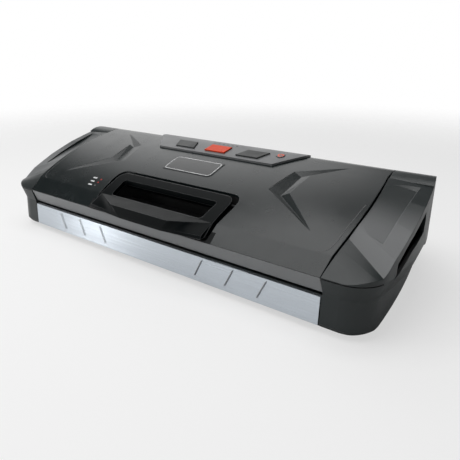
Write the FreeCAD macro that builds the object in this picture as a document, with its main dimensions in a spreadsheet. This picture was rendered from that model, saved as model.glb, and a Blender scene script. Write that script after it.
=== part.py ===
import FreeCAD, Part
import math
import os
import Sketcher

Vector = FreeCAD.Vector
Rotation = FreeCAD.Rotation
Placement = FreeCAD.Placement

# A wide counter-top vacuum sealer. Frame: +Z up, +X to the user's right, -Y towards the user,
# origin on the counter under the middle of the machine. Millimetres and degrees.
doc = FreeCAD.newDocument("vacuum_sealer")
sheet = doc.addObject("Spreadsheet::Sheet", "sizes")

driving_sizes = [
    # overall
    ("depthOverall", 235.0, "nose of the handle to the rear wall"),
    ("noseReach", 5.8, "nose of the handle in front of the lid's lip"),
    ("hingeReach", 143.7, "lid's lip to the hinge axis"),
    ("lidHalf", 203.5, "half the lid's length, seam to seam"),
    ("endBow", 5.4, "bow of the lid's ends seen from above"),
    ("seamGap", 1.0, "gap between the lid's ends and the end caps"),
    ("capWidth", 41.5, "width of an end cap"),
    ("footHeight", 5.0, "height of the rubber feet"),
    ("shellWall", 3.0, "wall of the base mouldings"),
    ("skinWall", 3.0, "wall of the lid cover"),
    ("runClear", 0.4, "clearance round sliding pieces"),
    ("fitClear", 0.05, "radial clearance of pins and shafts"),
    # lid section
    ("rimHeight", 36.3, "lid's lower rim above the counter"),
    ("lipHeight", 15.1, "height of the lip's face"),
    ("lipUndercut", 6.1, "lip's lower edge behind its upper edge"),
    ("bevelDepth", 15.2, "depth of the front bevel"),
    ("bevelHeight", 14.3, "height of the front bevel"),
    ("hingeHeight", 84.0, "hinge axis above the counter"),
    ("barrelRadius", 26.0, "radius of the lid's rolled rear edge"),
    ("barrelLead", 13.3, "angle from the barrel's top to the crown, degrees"),
    ("tailAngle", 25.0, "angle of the barrel's rear end above level, degrees"),
    ("crownRise", 4.7, "rise of the crown above its chord"),
    ("linerDrop", 2.0, "lid liner above the lid's rim"),
    ("riserReach", 50.0, "lid's inner step in front of the hinge axis"),
    ("riserHeight", 68.0, "underside of the lid behind its step"),
    # facets pressed into the lid
    ("facetDepth", 3.5, "deepest point of the pressed facets"),
    ("facetTipX", 106.0, "inner tip of the facets from the middle"),
    ("facetTipSet", 72.0, "inner tip of the facets in front of the hinge axis"),
    ("facetArm", 33.0, "length of the facets' rear arm"),
    ("facetLegX", 71.0, "reach of the facets' front leg along the lid"),
    ("facetLegY", 40.0, "reach of the facets' front leg towards the lip"),
    ("facetTailX", 61.0, "reach of the facets' rear tail along the lid"),
    ("facetTailY", 63.0, "reach of the facets' rear tail towards the hinge"),
    ("facetBand", 8.5, "width of the facets' bands"),
    ("facetWing", 15.5, "width of the facets' inner wing"),
    # handle and its recess
    ("recessHalf", 89.0, "half the length of the handle's recess"),
    ("recessSet", 55.0, "lip to the rear wall of the recess"),
    ("recessTaper", 7.0, "how much each end of the recess closes towards the lip"),
    ("recessCorner", 12.0, "rear corners of the recess"),
    ("recessWall", 2.4, "walls and floor of the handle's recess"),
    ("recessFloor", 0.8, "recess floor above the lip's edge"),
    ("handleGap", 6.0, "gap round the handle in its recess"),
    ("handleTail", 1.5, "handle's rear edge behind its pivot"),
    ("handleProud", 1.2, "handle above the lid's surface"),
    ("handleThick", 5.5, "thickness of the handle's frame"),
    ("handleTaper", 2.0, "how much each end of the handle closes towards the nose"),
    ("windowHalf", 69.0, "half the length of the handle's window"),
    ("windowRearSet", 10.5, "window behind its rear frame edge"),
    ("windowFrontSet", 0.0, "window behind the bevel's crease"),
    ("noseHalf", 33.5, "half the nose's length at its rear edge"),
    ("noseFlare", 8.0, "nose's upper front corner beyond its rear end"),
    ("noseHeel", 0.5, "nose's lower front corner short of its rear end"),
    ("noseChin", 3.5, "height of the nose's chin"),
    ("noseLean", 1.2, "nose's lower edge behind its front"),
    ("noseTilt", 1.2, "nose's upper front edge under its rear edge"),
    ("noseClear", 1.7, "nose's inner face in front of the lip"),
    ("handleLift", 2.6, "handle's underside above the recess floor"),
    ("handleCorner", 10.0, "handle's rear corners"),
    ("windowTaper", 3.0, "how much each end of the window closes towards the nose"),
    ("windowCorner", 4.0, "window's corners"),
    ("noseLow", 0.6, "nose's lower edge above the lip's edge"),
    ("noseEndLow", 3.0, "lower edge of the nose's ends above the lip's edge"),
    ("noseEndProud", 0.5, "nose's ends above the bevel's crease"),
    ("pivotSet", 7.0, "handle pivot in front of the recess's rear wall"),
    ("pivotDrop", 9.0, "handle pivot under the lid's surface"),
    ("pivotBoss", 5.6, "radius of the handle's rear barrel"),
    ("shaftRadius", 3.0, "latch shaft"),
    # latch
    ("saddleThick", 4.0, "ribs that carry the latch shaft"),
    ("saddleGap", 6.0, "ribs inside the hooks"),
    ("hookThick", 4.0, "thickness of a latch hook"),
    ("hookInset", 5.5, "hook behind the lid's inner end wall"),
    ("hookWidth", 7.0, "width of a hook's arm"),
    ("hookReach", 49.0, "hook's foot under the pivot"),
    ("hookToe", 6.0, "hook's toe behind its arm"),
    ("hookFoot", 4.5, "height of the hook's toe"),
    ("toeClear", 0.5, "toe in front of the striker with the handle flush"),
    ("strikerThick", 2.0, "striker plate under the deck"),
    ("strikerSeat", 3.0, "striker plate's seat round its slot"),
    ("hookSlotFront", 34.0, "hook slot in front of the pivot"),
    ("hookSlotRear", 16.0, "hook slot behind the pivot"),
    # control panel
    ("panelFrontHalf", 84.0, "half the panel's front edge"),
    ("panelRearHalf", 108.0, "half the panel's rear edge"),
    ("panelFrontSet", 32.5, "panel's front edge in front of the hinge axis"),
    ("panelRearSet", 8.0, "panel's rear edge behind the hinge axis"),
    ("panelThick", 2.2, "panel above the lid's surface"),
    ("buttonSet", 18.5, "buttons' middle in front of the hinge axis"),
    ("buttonPitch", 49.5, "buttons' spacing"),
    ("buttonWidth", 29.5, "width of a button"),
    ("buttonDepth", 16.0, "depth of a button"),
    ("buttonSkew", 3.5, "slant of the outer buttons"),
    ("buttonProud", 1.4, "button above the panel"),
    ("buttonEdge", 0.6, "rounding of a button's face"),
    ("buttonTravel", 1.2, "button's travel"),
    ("stemRadius", 3.0, "button's stem"),
    ("keyGap", 0.2, "air between a pressed key and its switch"),
    ("powerInset", 26.0, "power button inside the panel's rear end"),
    ("powerSet", 11.5, "power button in front of the hinge axis"),
    ("powerRadius", 4.6, "power button"),
    ("boardDrop", 13.0, "control board under the panel's top"),
    ("boardThick", 1.6, "printed boards"),
    ("lensRadius", 0.9, "indicator lenses"),
    ("lensPitch", 6.6, "spacing of the progress lenses"),
    ("lensSet", 4.0, "progress lenses in front of the hinge axis"),
    ("statusX", 104.0, "status lenses left of the middle"),
    ("statusSet", 27.5, "middle status lens behind the lip"),
    ("statusPitch", 5.0, "spacing of the status lenses"),
    ("badgeWidth", 70.0, "bare badge plate along the lid"),
    ("badgeDepth", 27.0, "bare badge plate across the lid"),
    ("badgeSet", 59.0, "badge's middle in front of the hinge axis"),
    ("badgeX", 4.5, "badge's middle left of the lid's middle"),
    ("badgeThick", 0.6, "badge plate"),
    # base
    ("stripHeight", 25.6, "front strip"),
    ("stripThick", 2.4, "front strip at its middle"),
    ("stripLean", 1.5, "strip's foot in front of its top"),
    ("stripSet", 3.0, "strip's face behind the lip's edge"),
    ("stripGap", 3.7, "gap between the strip and the lid's rim"),
    ("deckGap", 2.3, "deck under the lid's rim"),
    ("barSet", 25.0, "seal bar's middle behind the lip"),
    ("barInset", 13.0, "seal bar's ends inside the lid's ends"),
    ("barWidth", 9.0, "seal bar's width"),
    ("barHeight", 9.0, "seal bar's height"),
    ("sealFace", 0.3, "air between the pressed faces with the lid shut"),
    ("wireWidth", 3.0, "heating ribbon's width"),
    ("wireThick", 0.3, "heating ribbon's thickness"),
    ("tapeThick", 0.2, "release tape's thickness"),
    ("troughInset", 27.5, "vacuum trough's ends inside the lid's ends"),
    ("troughFront", 46.0, "trough's front behind the lip"),
    ("troughWidth", 34.0, "trough's width"),
    ("troughDeep", 14.0, "trough's depth"),
    ("gasketWidth", 7.0, "gasket's width"),
    ("gasketLand", 3.0, "deck between the trough and its gasket"),
    ("gasketSeat", 2.5, "gasket's groove"),
    ("trayWall", 1.6, "drip tray's wall"),
    ("trayDrop", 1.0, "drip tray's edge under the deck"),
    ("deckRiser", 46.0, "deck's step in front of the hinge axis"),
    ("deckRear", 64.0, "deck's rear level"),
    ("barrelClear", 3.5, "air round the lid's barrel"),
    ("rearTop", 64.7, "rear housing's upper edge above the counter"),
    ("rearCorner", 12.0, "rounding of the rear housing's upper edge"),
    ("roofWall", 3.9, "rear housing's roof, measured upright"),
    ("roofClear", 0.05, "deck's rear end under the rear housing's roof"),
    # end caps and rear caps
    ("capProud", 0.8, "end cap in front of the lip"),
    ("capBow", 5.2, "bow of an end cap's outer wall seen from above"),
    ("capCorner", 30.0, "end cap's front corner"),
    ("capTuck", 4.8, "end cap's wall behind its shoulder at the rim"),
    ("capToe", 3.2, "end cap's wall behind its shoulder near the counter"),
    ("capRound", 4.0, "end cap's lower edge rounding"),
    ("capDrop", 0.8, "end cap's inner edge under the lid's surface"),
    ("shoulderRise", 0.4, "end cap's shoulder above the lip's edge"),
    ("lineHeight", 1.2, "dark line under an end cap's shoulder"),
    ("lineDeep", 1.5, "depth of the line under the shoulder"),
    ("facetInner", 38.0, "end cap's hip behind its front at the seam"),
    ("facetOuter", 18.0, "end cap's hip behind its front at the rail"),
    ("facetSwell", 2.1, "swell of the facet in front of the hip at the seam"),
    ("hipRise", 3.1, "end cap's hip above the shoulder at the rail"),
    ("kneeSet", 16.5, "rail's knee behind the hip"),
    ("kneeDrop", 8.3, "rail's knee under the lid's crown"),
    ("railEnd", 3.8, "rail's rear end under the lid's crown"),
    ("scoopInner", 51.5, "scoop's front behind the cap's front at the seam"),
    ("scoopOuter", 45.5, "scoop's front behind the cap's front at the rail"),
    ("scoopLift", 0.8, "scoop's inner edge above the cap's inner edge"),
    ("scoopStep", 0.9, "scoop's depth at its front edge"),
    ("scoopDeep", 1.6, "scoop's depth at the foot of its rear wall"),
    ("scoopWall", 10.0, "foot of the scoop's rear wall in front of the rear cap"),
    ("scoopEdge", 0.6, "top of the scoop's rear wall in front of the rear cap"),
    ("railWidth", 15.7, "rail outside the scoop"),
    ("slotFront", 39.5, "grip slot's front behind the cap's front"),
    ("slotRear", 23.0, "grip slot's end in front of the rear cap"),
    ("slotLow", 46.3, "grip slot's front tip above the counter"),
    ("slotSlope", 19.2, "fall of the slot's lower edge, degrees"),
    ("slotBelly", 4.6, "bow of the slot's lower edge"),
    ("slotTall", 19.5, "grip slot's height"),
    ("slotDeep", 7.0, "grip slot's reach inside the cap's wall"),
    ("sweepFront", 8.5, "cap's lower edge leaves the counter level behind the cap's front"),
    ("sweepSlope", 18.3, "rise of the cap's lower edge, degrees"),
    ("coverLead", 15.5, "rear caps' front edge in front of the hinge axis"),
    ("coverGap", 0.4, "line between an end cap and its rear cap"),
    ("coverRadius", 258.0, "rear caps' plan radius"),
    ("coverTip", 5.5, "width of a rear cap's rear end"),
    ("legBottom", 46.0, "rear caps' lower edge above the counter"),
    # hinge
    ("pinRadius", 4.0, "hinge pin"),
    ("pinOuter", 14.0, "hinge pin beyond the seam"),
    ("bushWall", 2.2, "hinge bush"),
    ("bushLength", 9.0, "hinge bush along its pin"),
    ("bushFlange", 2.5, "hinge bush's flange beyond its wall"),
    ("bracketThick", 4.0, "hinge bracket"),
    ("bracketWidth", 24.0, "hinge bracket"),
    # machinery
    ("motorRadius", 18.0, "pump motor"),
    ("motorLength", 62.0, "pump motor"),
    ("motorHeight", 30.0, "pump's axis above the counter"),
    ("motorSet", 42.0, "pump's axis in front of the rear wall"),
    ("motorX", -68.0, "motor's far end from the middle"),
    ("motorShaft", 2.0, "motor's shaft"),
    ("pumpLength", 40.0, "pump housing along its axis"),
    ("pumpHalf", 21.0, "half the pump housing across its axis"),
    ("crankRadius", 12.0, "crank disc"),
    ("crankThick", 6.0, "crank disc"),
    ("crankPin", 2.5, "crank's pin"),
    ("crankThrow", 6.0, "crank's throw"),
    ("hoseRadius", 3.5, "vacuum hose"),
    ("hoseBore", 2.2, "vacuum hose's bore"),
    ("hoseRise", 5.0, "vacuum hose above the trough's floor"),
    ("coreWidth", 58.0, "transformer along the machine"),
    ("coreDepth", 46.0, "transformer across the machine"),
    ("coreHeight", 44.0, "transformer's height"),
    ("coreInset", 29.5, "transformer inside the tub's left end"),
    ("coreSet", 70.0, "transformer in front of the rear wall"),
    ("mainWidth", 92.0, "main board along the machine"),
    ("mainDepth", 62.0, "main board across the machine"),
    ("mainInset", 17.5, "main board inside the tub's right end"),
    ("chipHeight", 18.0, "tallest component on the main board"),
    ("mainSet", 100.0, "main board in front of the rear wall"),
    ("postHeight", 6.0, "boards' posts"),
    ("fanSize", 50.0, "fan's frame"),
    ("fanThick", 12.0, "fan's frame"),
    ("fanX", 20.0, "fan's near side from the middle"),
    ("fanTip", 0.9, "air round the fan's blades"),
    ("hubRadius", 10.0, "fan's hub"),
    ("bladeCount", 7, "fan's blades"),
    ("ventCount", 9, "vent slots"),
    ("ventPitch", 9.0, "spacing of the vent slots"),
    ("ventWidth", 4.5, "width of a vent slot"),
    ("ventHeight", 24.0, "height of a vent slot"),
    ("inletWidth", 28.0, "power inlet"),
    ("inletHeight", 20.0, "power inlet"),
    ("inletDepth", 22.0, "power inlet"),
    ("inletInset", 26.5, "power inlet inside the tub's left end"),
    ("footRadius", 9.0, "rubber foot"),
    ("footInsetX", 24.0, "feet from the tub's ends"),
    ("footInsetY", 20.0, "feet from the tub's front and rear"),
    ("screwRadius", 2.0, "screws"),
    ("screwHead", 3.6, "screw heads"),
    ("screwLength", 12.0, "screws"),
    ("bossFrontX", 150.0, "front screws from the middle"),
    ("bossFrontSet", 7.3, "front screws behind the tub's front"),
    ("bossRearX", 60.0, "rear screws from the middle"),
    ("bossRearSet", 14.0, "rear screws behind the deck's step"),
    ("bossRadius", 3.8, "screw bosses"),
    ("hingeScrewLow", 8.0, "lower hinge screws above the rear caps' lower edge"),
    ("hingeScrewPitch", 14.0, "hinge screws' spacing"),
    ("switchInset", 4.0, "lid switch inside the lid's end"),
    ("switchSize", 12.0, "lid switch"),
]

for row, (alias, number, meaning) in enumerate(driving_sizes, start=1):
    sheet.set("A%d" % row, meaning)
    sheet.set("B%d" % row, str(number))
    sheet.setAlias("B%d" % row, alias)
doc.recompute()


def size(alias):
    return float(sheet.get(alias))


def bound(text):
    """Turn $name into a reference to the sheet's cell."""
    return text.replace("$", "sizes.")


# Places shared by several pieces, as text for bound objects and as numbers for free shapes.
lip_text = "(-$depthOverall / 2 + $noseReach)"
hinge_text = "(-$depthOverall / 2 + $noseReach + $hingeReach)"
rear_text = "($depthOverall / 2)"
seam_text = "($lidHalf + $seamGap)"
deck_text = "($rimHeight - $deckGap)"
floor_text = "($footHeight + $shellWall)"
inner_text = "($lidHalf - $skinWall)"
tub_front_text = "(%s + $stripSet + $stripThick)" % lip_text
tub_rear_text = "(%s - $shellWall)" % rear_text

lip_y = -size("depthOverall") / 2 + size("noseReach")
lip_z = size("rimHeight") + size("lipHeight")
rim_y = lip_y + size("lipUndercut")
crease_y = lip_y + size("bevelDepth")
crease_z = lip_z + size("bevelHeight")
hinge_y = lip_y + size("hingeReach")
hinge_z = size("hingeHeight")
rear_y = size("depthOverall") / 2
seam_x = size("lidHalf") + size("seamGap")
outer_x = seam_x + size("capWidth")
deck_z = size("rimHeight") - size("deckGap")
inner_x = size("lidHalf") - size("skinWall")
split_y = hinge_y - size("coverLead")
tub_front = lip_y + size("stripSet") + size("stripThick")
tub_rear = rear_y - size("shellWall")
cap_front = lip_y - size("capProud")
shoulder_z = lip_z + size("shoulderRise")
hook_x = inner_x - size("hookInset") - size("hookThick") / 2
trough_half = size("lidHalf") - size("troughInset")
bar_half = size("lidHalf") - size("barInset")
inlet_x = size("inletInset") - seam_x
sky = hinge_z + size("barrelRadius") + 40.0


def polar(radius, degrees):
    angle = math.radians(degrees)
    return hinge_y + radius * math.cos(angle), hinge_z + radius * math.sin(angle)


# The crown is the arc from the bevel's crease to the barrel with the given rise over its chord.
crown_end = polar(size("barrelRadius"), 90 + size("barrelLead"))
chord_y = crown_end[0] - crease_y
chord_z = crown_end[1] - crease_z
chord = math.hypot(chord_y, chord_z)
crown_mid = (crease_y + chord_y / 2 - chord_z / chord * size("crownRise"),
             crease_z + chord_z / 2 + chord_y / chord * size("crownRise"))
crown_radius = chord ** 2 / (8 * size("crownRise")) + size("crownRise") / 2
crown_centre = (crown_mid[0] + chord_z / chord * crown_radius,
                crown_mid[1] - chord_y / chord * crown_radius)


# The rear roof leaves the barrel along its tangent and ends at the top of the rear wall.
roof_run = math.hypot(rear_y - hinge_y, size("rearTop") - hinge_z)
roof_turn = math.degrees(math.atan2(size("rearTop") - hinge_z, rear_y - hinge_y)
                         + math.acos(size("barrelRadius") / roof_run))
roof_fall = math.tan(math.radians(90 - roof_turn))


def crown_height(y, lift=0.0):
    """Height of the lid's surface, or of one parallel to it, at a depth y."""
    if y > crown_end[0]:
        radius = size("barrelRadius") + lift
        return hinge_z + math.sqrt(radius ** 2 - (y - hinge_y) ** 2)
    radius = crown_radius + lift
    return crown_centre[1] + math.sqrt(radius ** 2 - (y - crown_centre[0]) ** 2)


def crown_slope(y):
    """Slope of the lid's surface at a depth y, in degrees."""
    centre = crown_centre if y <= crown_end[0] else (hinge_y, hinge_z)
    height = crown_height(y)
    return math.degrees(math.atan2(-(y - centre[0]), height - centre[1]))


def lid_frame(x, y, lift=0.0):
    """A placement on the lid's surface whose Z axis is the surface's normal."""
    slope = crown_slope(y)
    normal = Rotation(Vector(1, 0, 0), slope).multVec(Vector(0, 0, 1))
    return Placement(Vector(x, y, crown_height(y)) + normal * lift, Rotation(Vector(1, 0, 0), slope))


def segment(start, end):
    return Part.LineSegment(start, end).toShape()


def arc(start, middle, end):
    return Part.Arc(start, middle, end).toShape()


def at(y, z, x=0.0):
    return Vector(x, y, z)


def section(points, x_low, x_high):
    """A solid whose section across the machine is the polygon of (y, z) points."""
    corners = [at(y, z, x_low) for y, z in points]
    face = Part.Face(Part.makePolygon(corners + corners[:1]))
    return face.extrude(Vector(x_high - x_low, 0, 0))


def upright(points, z_low, z_high):
    """A solid whose plan is the polygon of (x, y) points."""
    corners = [Vector(x, y, z_low) for x, y in points]
    face = Part.Face(Part.makePolygon(corners + corners[:1]))
    return face.extrude(Vector(0, 0, z_high - z_low))


def rounded(solid, corners, radius):
    """The solid with the upright edges at the given plan corners rounded."""
    edges = []
    for edge in solid.Edges:
        box_of_edge = edge.BoundBox
        for x, y in corners:
            if box_of_edge.ZLength > 1 and math.hypot(box_of_edge.Center.x - x, box_of_edge.Center.y - y) < 0.01:
                edges.append(edge)
    return solid.makeFillet(radius, edges)


def block(low, high):
    edge = Vector(*high) - Vector(*low)
    return Part.makeBox(edge.x, edge.y, edge.z, Vector(*low))


def rod(start, radius, length, direction):
    return Part.makeCylinder(radius, length, Vector(*start), Vector(*direction))


def lofted(wires):
    """A solid ruled through a row of wires, its faces turned outwards."""
    solid = Part.makeLoft(wires, True, True)
    if solid.Volume < 0:
        solid.reverse()
    return solid


def ruled_tool(first, first_x, second, second_x):
    """A solid ruled between two (y, z) polygons standing at two places along the machine."""
    rings = []
    for points, x in ((first, first_x), (second, second_x)):
        corners = [at(y, z, x) for y, z in points]
        rings.append(Part.makePolygon(corners + corners[:1]))
    return lofted(rings)


def mirrored(shape):
    return shape.mirror(Vector(0, 0, 0), Vector(1, 0, 0))


nodes = []


def keep(item, label):
    """Give a finished sub-part its name."""
    item.Label = label
    nodes.append(item)
    return item


def free_part(label, shape):
    item = doc.addObject("Part::Feature", label)
    item.Shape = shape
    return keep(item, label)


def bind_place(item, place):
    for axis, text in zip("xyz", place):
        item.setExpression("Placement.Base.%s" % axis, bound(text))


def box(name, edges, place):
    item = doc.addObject("Part::Box", name)
    for prop, text in zip(("Length", "Width", "Height"), edges):
        item.setExpression(prop, bound(text))
    bind_place(item, place)
    return item


axis_turn = {
    "x": Rotation(Vector(0, 1, 0), 90),
    "y": Rotation(Vector(1, 0, 0), -90),
    "z": Rotation(),
}


def cylinder(name, radius, length, place, axis="z"):
    item = doc.addObject("Part::Cylinder", name)
    item.Placement = Placement(Vector(), axis_turn[axis])
    item.setExpression("Radius", bound(radius))
    item.setExpression("Height", bound(length))
    bind_place(item, place)
    return item


def fused(name, items):
    item = doc.addObject("Part::MultiFuse", name)
    item.Shapes = items
    return item


def grouped(name, items):
    item = doc.addObject("Part::Compound", name)
    item.Links = items
    return item


def less(name, base, tools):
    item = doc.addObject("Part::Cut", name)
    item.Base = base
    item.Tool = tools[0] if len(tools) == 1 else fused(name + "_tools", tools)
    return item


def sketched(name, plane, points, length, middle=True):
    """A body padded from a polygon whose corners are bound to the sheet."""
    body = doc.addObject("PartDesign::Body", name)
    sketch = body.newObject("Sketcher::SketchObject", name + "_outline")
    support = [item for item in body.Origin.OriginFeatures if item.Role == plane][0]
    sketch.AttachmentSupport = [(support, "")]
    sketch.MapMode = "FlatFace"
    count = len(points)
    guess = [(math.cos(2 * math.pi * k / count), math.sin(2 * math.pi * k / count)) for k in range(count)]
    for k in range(count):
        start = Vector(guess[k][0], guess[k][1], 0)
        end = Vector(guess[(k + 1) % count][0], guess[(k + 1) % count][1], 0)
        sketch.addGeometry(Part.LineSegment(start, end))
    for k in range(count):
        sketch.addConstraint(Sketcher.Constraint("Coincident", k, 2, (k + 1) % count, 1))
    for k, corner in enumerate(points):
        for kind, text, value in zip(("DistanceX", "DistanceY"), corner, guess[k]):
            index = sketch.addConstraint(Sketcher.Constraint(kind, -1, 1, k, 1, value))
            sketch.setExpression("Constraints[%d]" % index, bound(text))
    pad = body.newObject("PartDesign::Pad", name + "_pad")
    pad.Profile = sketch
    pad.setExpression("Length", bound(length))
    pad.Midplane = middle
    body.Tip = pad
    return body


# Lid

def lid_edges(lift, tail, x):
    """Edges of a curve parallel to the lid's outside, from its rim round to its tail."""
    bevel = Vector(0, -size("bevelHeight"), size("bevelDepth")).normalize()
    lip = Vector(0, -size("lipHeight"), -size("lipUndercut")).normalize()

    def lifted(y, z, before, after):
        bend = (before + after)
        bend = bend * (2.0 / bend.dot(bend))
        return at(y, z, x) + bend * lift

    normal = Vector(0, crease_y - crown_centre[0], crease_z - crown_centre[1]).normalize()
    rim = at(rim_y, size("rimHeight"), x) + Vector(0, lip.y, 0) * (lift / lip.y ** 2)
    edge = lifted(lip_y, lip_z, lip, bevel)
    crease = lifted(crease_y, crease_z, bevel, normal)
    middle = at(crown_mid[0], crown_mid[1], x) + Vector(0, -chord_z, chord_y) * (lift / chord)
    radius = size("barrelRadius") + lift
    join = at(*polar(radius, 90 + size("barrelLead")), x=x)
    over = at(*polar(radius, (90 + size("barrelLead") + tail) / 2), x=x)
    end = at(*polar(radius, tail), x=x)
    edges = [segment(rim, edge), segment(edge, crease), arc(crease, middle, join), arc(join, over, end)]
    return edges, rim, end


def lid_layer(low, high, half, tail):
    """A solid between two curves parallel to the lid's outside."""
    upper, upper_rim, upper_end = lid_edges(high, tail, -half)
    lower, lower_rim, lower_end = lid_edges(low, tail, -half)
    wire = Part.Wire(Part.__sortEdges__(upper + lower + [segment(upper_rim, lower_rim),
                                                         segment(upper_end, lower_end)]))
    return Part.Face(wire).extrude(Vector(2 * half, 0, 0))


def lid_end(x_low, x_high):
    """An end wall of the lid."""
    edges, rim, end = lid_edges(0.0, size("tailAngle"), x_low)
    step_y = hinge_y - size("riserReach")
    knee = at(*polar(size("barrelRadius") * 0.7, -45), x=x_low)
    corners = [end, knee, at(hinge_y - size("barrelRadius") * 0.7, size("riserHeight"), x_low),
               at(step_y, size("riserHeight"), x_low), at(step_y, size("rimHeight"), x_low), rim]
    edges += [segment(a, b) for a, b in zip(corners[:-1], corners[1:])]
    return Part.Face(Part.Wire(Part.__sortEdges__(edges))).extrude(Vector(x_high - x_low, 0, 0))


def bowed_end(x, bow, z_low, z_high):
    """What lies inside a lid's end that bows outwards between the lip and the rear caps."""
    root = size("lidHalf") / 2
    plan = ((x, split_y), (root, split_y), (root, lip_y), (x, lip_y))
    corners = [Vector(px, py, z_low) for px, py in plan]
    edges = [segment(a, b) for a, b in zip(corners[:-1], corners[1:])]
    edges.append(arc(corners[-1], Vector(x + bow, (lip_y + split_y) / 2, z_low), corners[0]))
    return Part.Face(Part.Wire(edges)).extrude(Vector(0, 0, z_high - z_low))


recess_y = lip_y + size("recessSet")
pivot_y = recess_y - size("pivotSet")
pivot_z = crown_height(pivot_y) - size("pivotDrop")
recess_floor = lip_z + size("recessFloor")


def recess_plan(grow, z_low, z_high):
    """The handle's recess seen from above, open towards the user and rounded at its rear corners."""
    half = size("recessHalf") + grow
    far = recess_y + grow
    near = lip_y - size("noseReach") - 10.0
    close = half - size("recessTaper")
    plan = upright([(-close, near), (close, near), (half, crease_y + 20), (half, far), (-half, far),
                    (-half, crease_y + 20)], z_low, z_high)
    corners = [edge for edge in plan.Edges
               if abs(edge.BoundBox.ZLength - (z_high - z_low)) < 1e-6 and edge.BoundBox.YMax > far - 1e-6]
    return plan.makeFillet(size("recessCorner") + grow, corners)


def facet_tools():
    """Wedges for the pressed facets: a groove line between an inner wing and an outer band."""
    tip = size("facetTipX")
    row = hinge_y - size("facetTipSet")
    wing = size("facetWing")
    band = size("facetBand")
    arm = size("facetArm")
    deep = size("facetDepth")
    groove = {"leg": (tip + size("facetLegX"), row - size("facetLegY"), -0.2),
              "bend": (tip + wing, row - 1.0, deep),
              "top": (tip + wing + 3.0, row + arm - 1.0, deep * 0.6),
              "tail": (tip + size("facetTailX"), row + size("facetTailY"), -0.2),
              "tip": (tip, row, 0.0),
              "shoulder": (tip + wing * 0.5, row + arm + 3.0, 0.0),
              "outer bend": (tip + wing + band, row + 0.5, 0.0),
              "outer top": (tip + wing + 3.0 + band, row + arm + 0.5, 0.0)}
    faces = [("leg", "tip", "bend"), ("tip", "shoulder", "top"), ("tip", "top", "bend"),
             ("shoulder", "tail", "top"), ("leg", "bend", "outer bend"), ("bend", "top", "outer top"),
             ("bend", "outer top", "outer bend"), ("top", "tail", "outer top")]
    tools = []
    for names in faces:
        low = [Vector(x, y, crown_height(y) - drop) for x, y, drop in (groove[name] for name in names)]
        high = [point + Vector(0, 0, 12.0) for point in low]
        wires = [Part.makePolygon(ring + ring[:1]) for ring in (low, high)]
        wedge = lofted(wires)
        tools += [wedge, mirrored(wedge)]
    return tools


def facet_pads():
    """Thicker skin under the deepest part of the pressed facets."""
    skin = size("skinWall")
    row = hinge_y - size("facetTipSet")
    near = size("facetTipX") + 2.0
    far = size("facetTipX") + size("facetWing") + 2 * size("facetBand")
    pad = lid_layer(-2 * skin, -skin / 2, far, size("tailAngle")).common(
        block((near, row - size("facetWing"), 0), (far, row + size("facetArm") + size("facetBand"), sky)))
    return [pad, mirrored(pad)]


def button_frame(x):
    return lid_frame(x, hinge_y - size("buttonSet"), size("panelThick"))


def button_plan(skew, grow):
    """Corner points of a button's face in its own frame."""
    wide = size("buttonWidth") / 2 + grow
    deep = size("buttonDepth") / 2 + grow
    return [(-wide - skew, -deep), (wide - skew, -deep), (wide + skew, deep), (-wide + skew, deep)]


power_y = hinge_y - size("powerSet")
power_x = size("panelRearHalf") - size("powerInset")


def key_holes(low, high):
    """Openings for the keys, their stems and the lenses through the lid and the panel."""
    tools = []
    for side in (-1, 0, 1):
        frame = button_frame(side * size("buttonPitch"))
        hole = upright(button_plan(side * size("buttonSkew"), size("runClear")), low, high)
        hole.Placement = frame.multiply(hole.Placement)
        tools.append(hole)
    hole = rod((0, 0, low), size("powerRadius") + size("runClear"), high - low, (0, 0, 1))
    hole.Placement = lid_frame(power_x, power_y, size("panelThick"))
    tools.append(hole)
    return tools


def progress_places():
    row = hinge_y - size("lensSet")
    return [(size("lensPitch") * (k - 2.5), row) for k in range(6)]


def status_places():
    middle = lip_y + size("statusSet")
    return [(-size("statusX"), middle + size("statusPitch") * k) for k in (-1, 0, 1)]


def lens(x, y, lift, radius, low, high):
    item = rod((0, 0, low), radius, high - low, (0, 0, 1))
    item.Placement = lid_frame(x, y, lift)
    return item


board_width = 2 * power_x + 8 * size("powerRadius")
board_depth = 2 * size("buttonDepth")


def board_posts(radius):
    """Posts under the lid's skin that carry the control board."""
    posts = []
    for x in (-1, 1):
        for v in (-1, 1):
            post = rod((x * (board_width / 2 - 5.0), v * (board_depth / 2 - 4.0), -size("boardDrop")), radius,
                       size("boardDrop") - size("panelThick") - size("skinWall") / 2, (0, 0, 1))
            post.Placement = button_frame(0)
            posts.append(post)
    return posts


def shaft_saddles():
    """Ribs inside the lid that carry the latch shaft near its ends."""
    ribs = []
    place = hook_x - size("hookThick") / 2 - size("saddleGap")
    reach = size("shaftRadius") * 2.4
    sink = size("skinWall") / 2
    for side in (-1, 1):
        low = min(side * place, side * (place - size("saddleThick")))
        outline = [(pivot_y - reach, pivot_z - reach), (pivot_y + reach, pivot_z - reach),
                   (pivot_y + reach, crown_height(pivot_y + reach) - sink),
                   (pivot_y - reach, crown_height(pivot_y - reach) - sink)]
        ribs.append(section(outline, low, low + size("saddleThick")))
    return ribs


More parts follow.
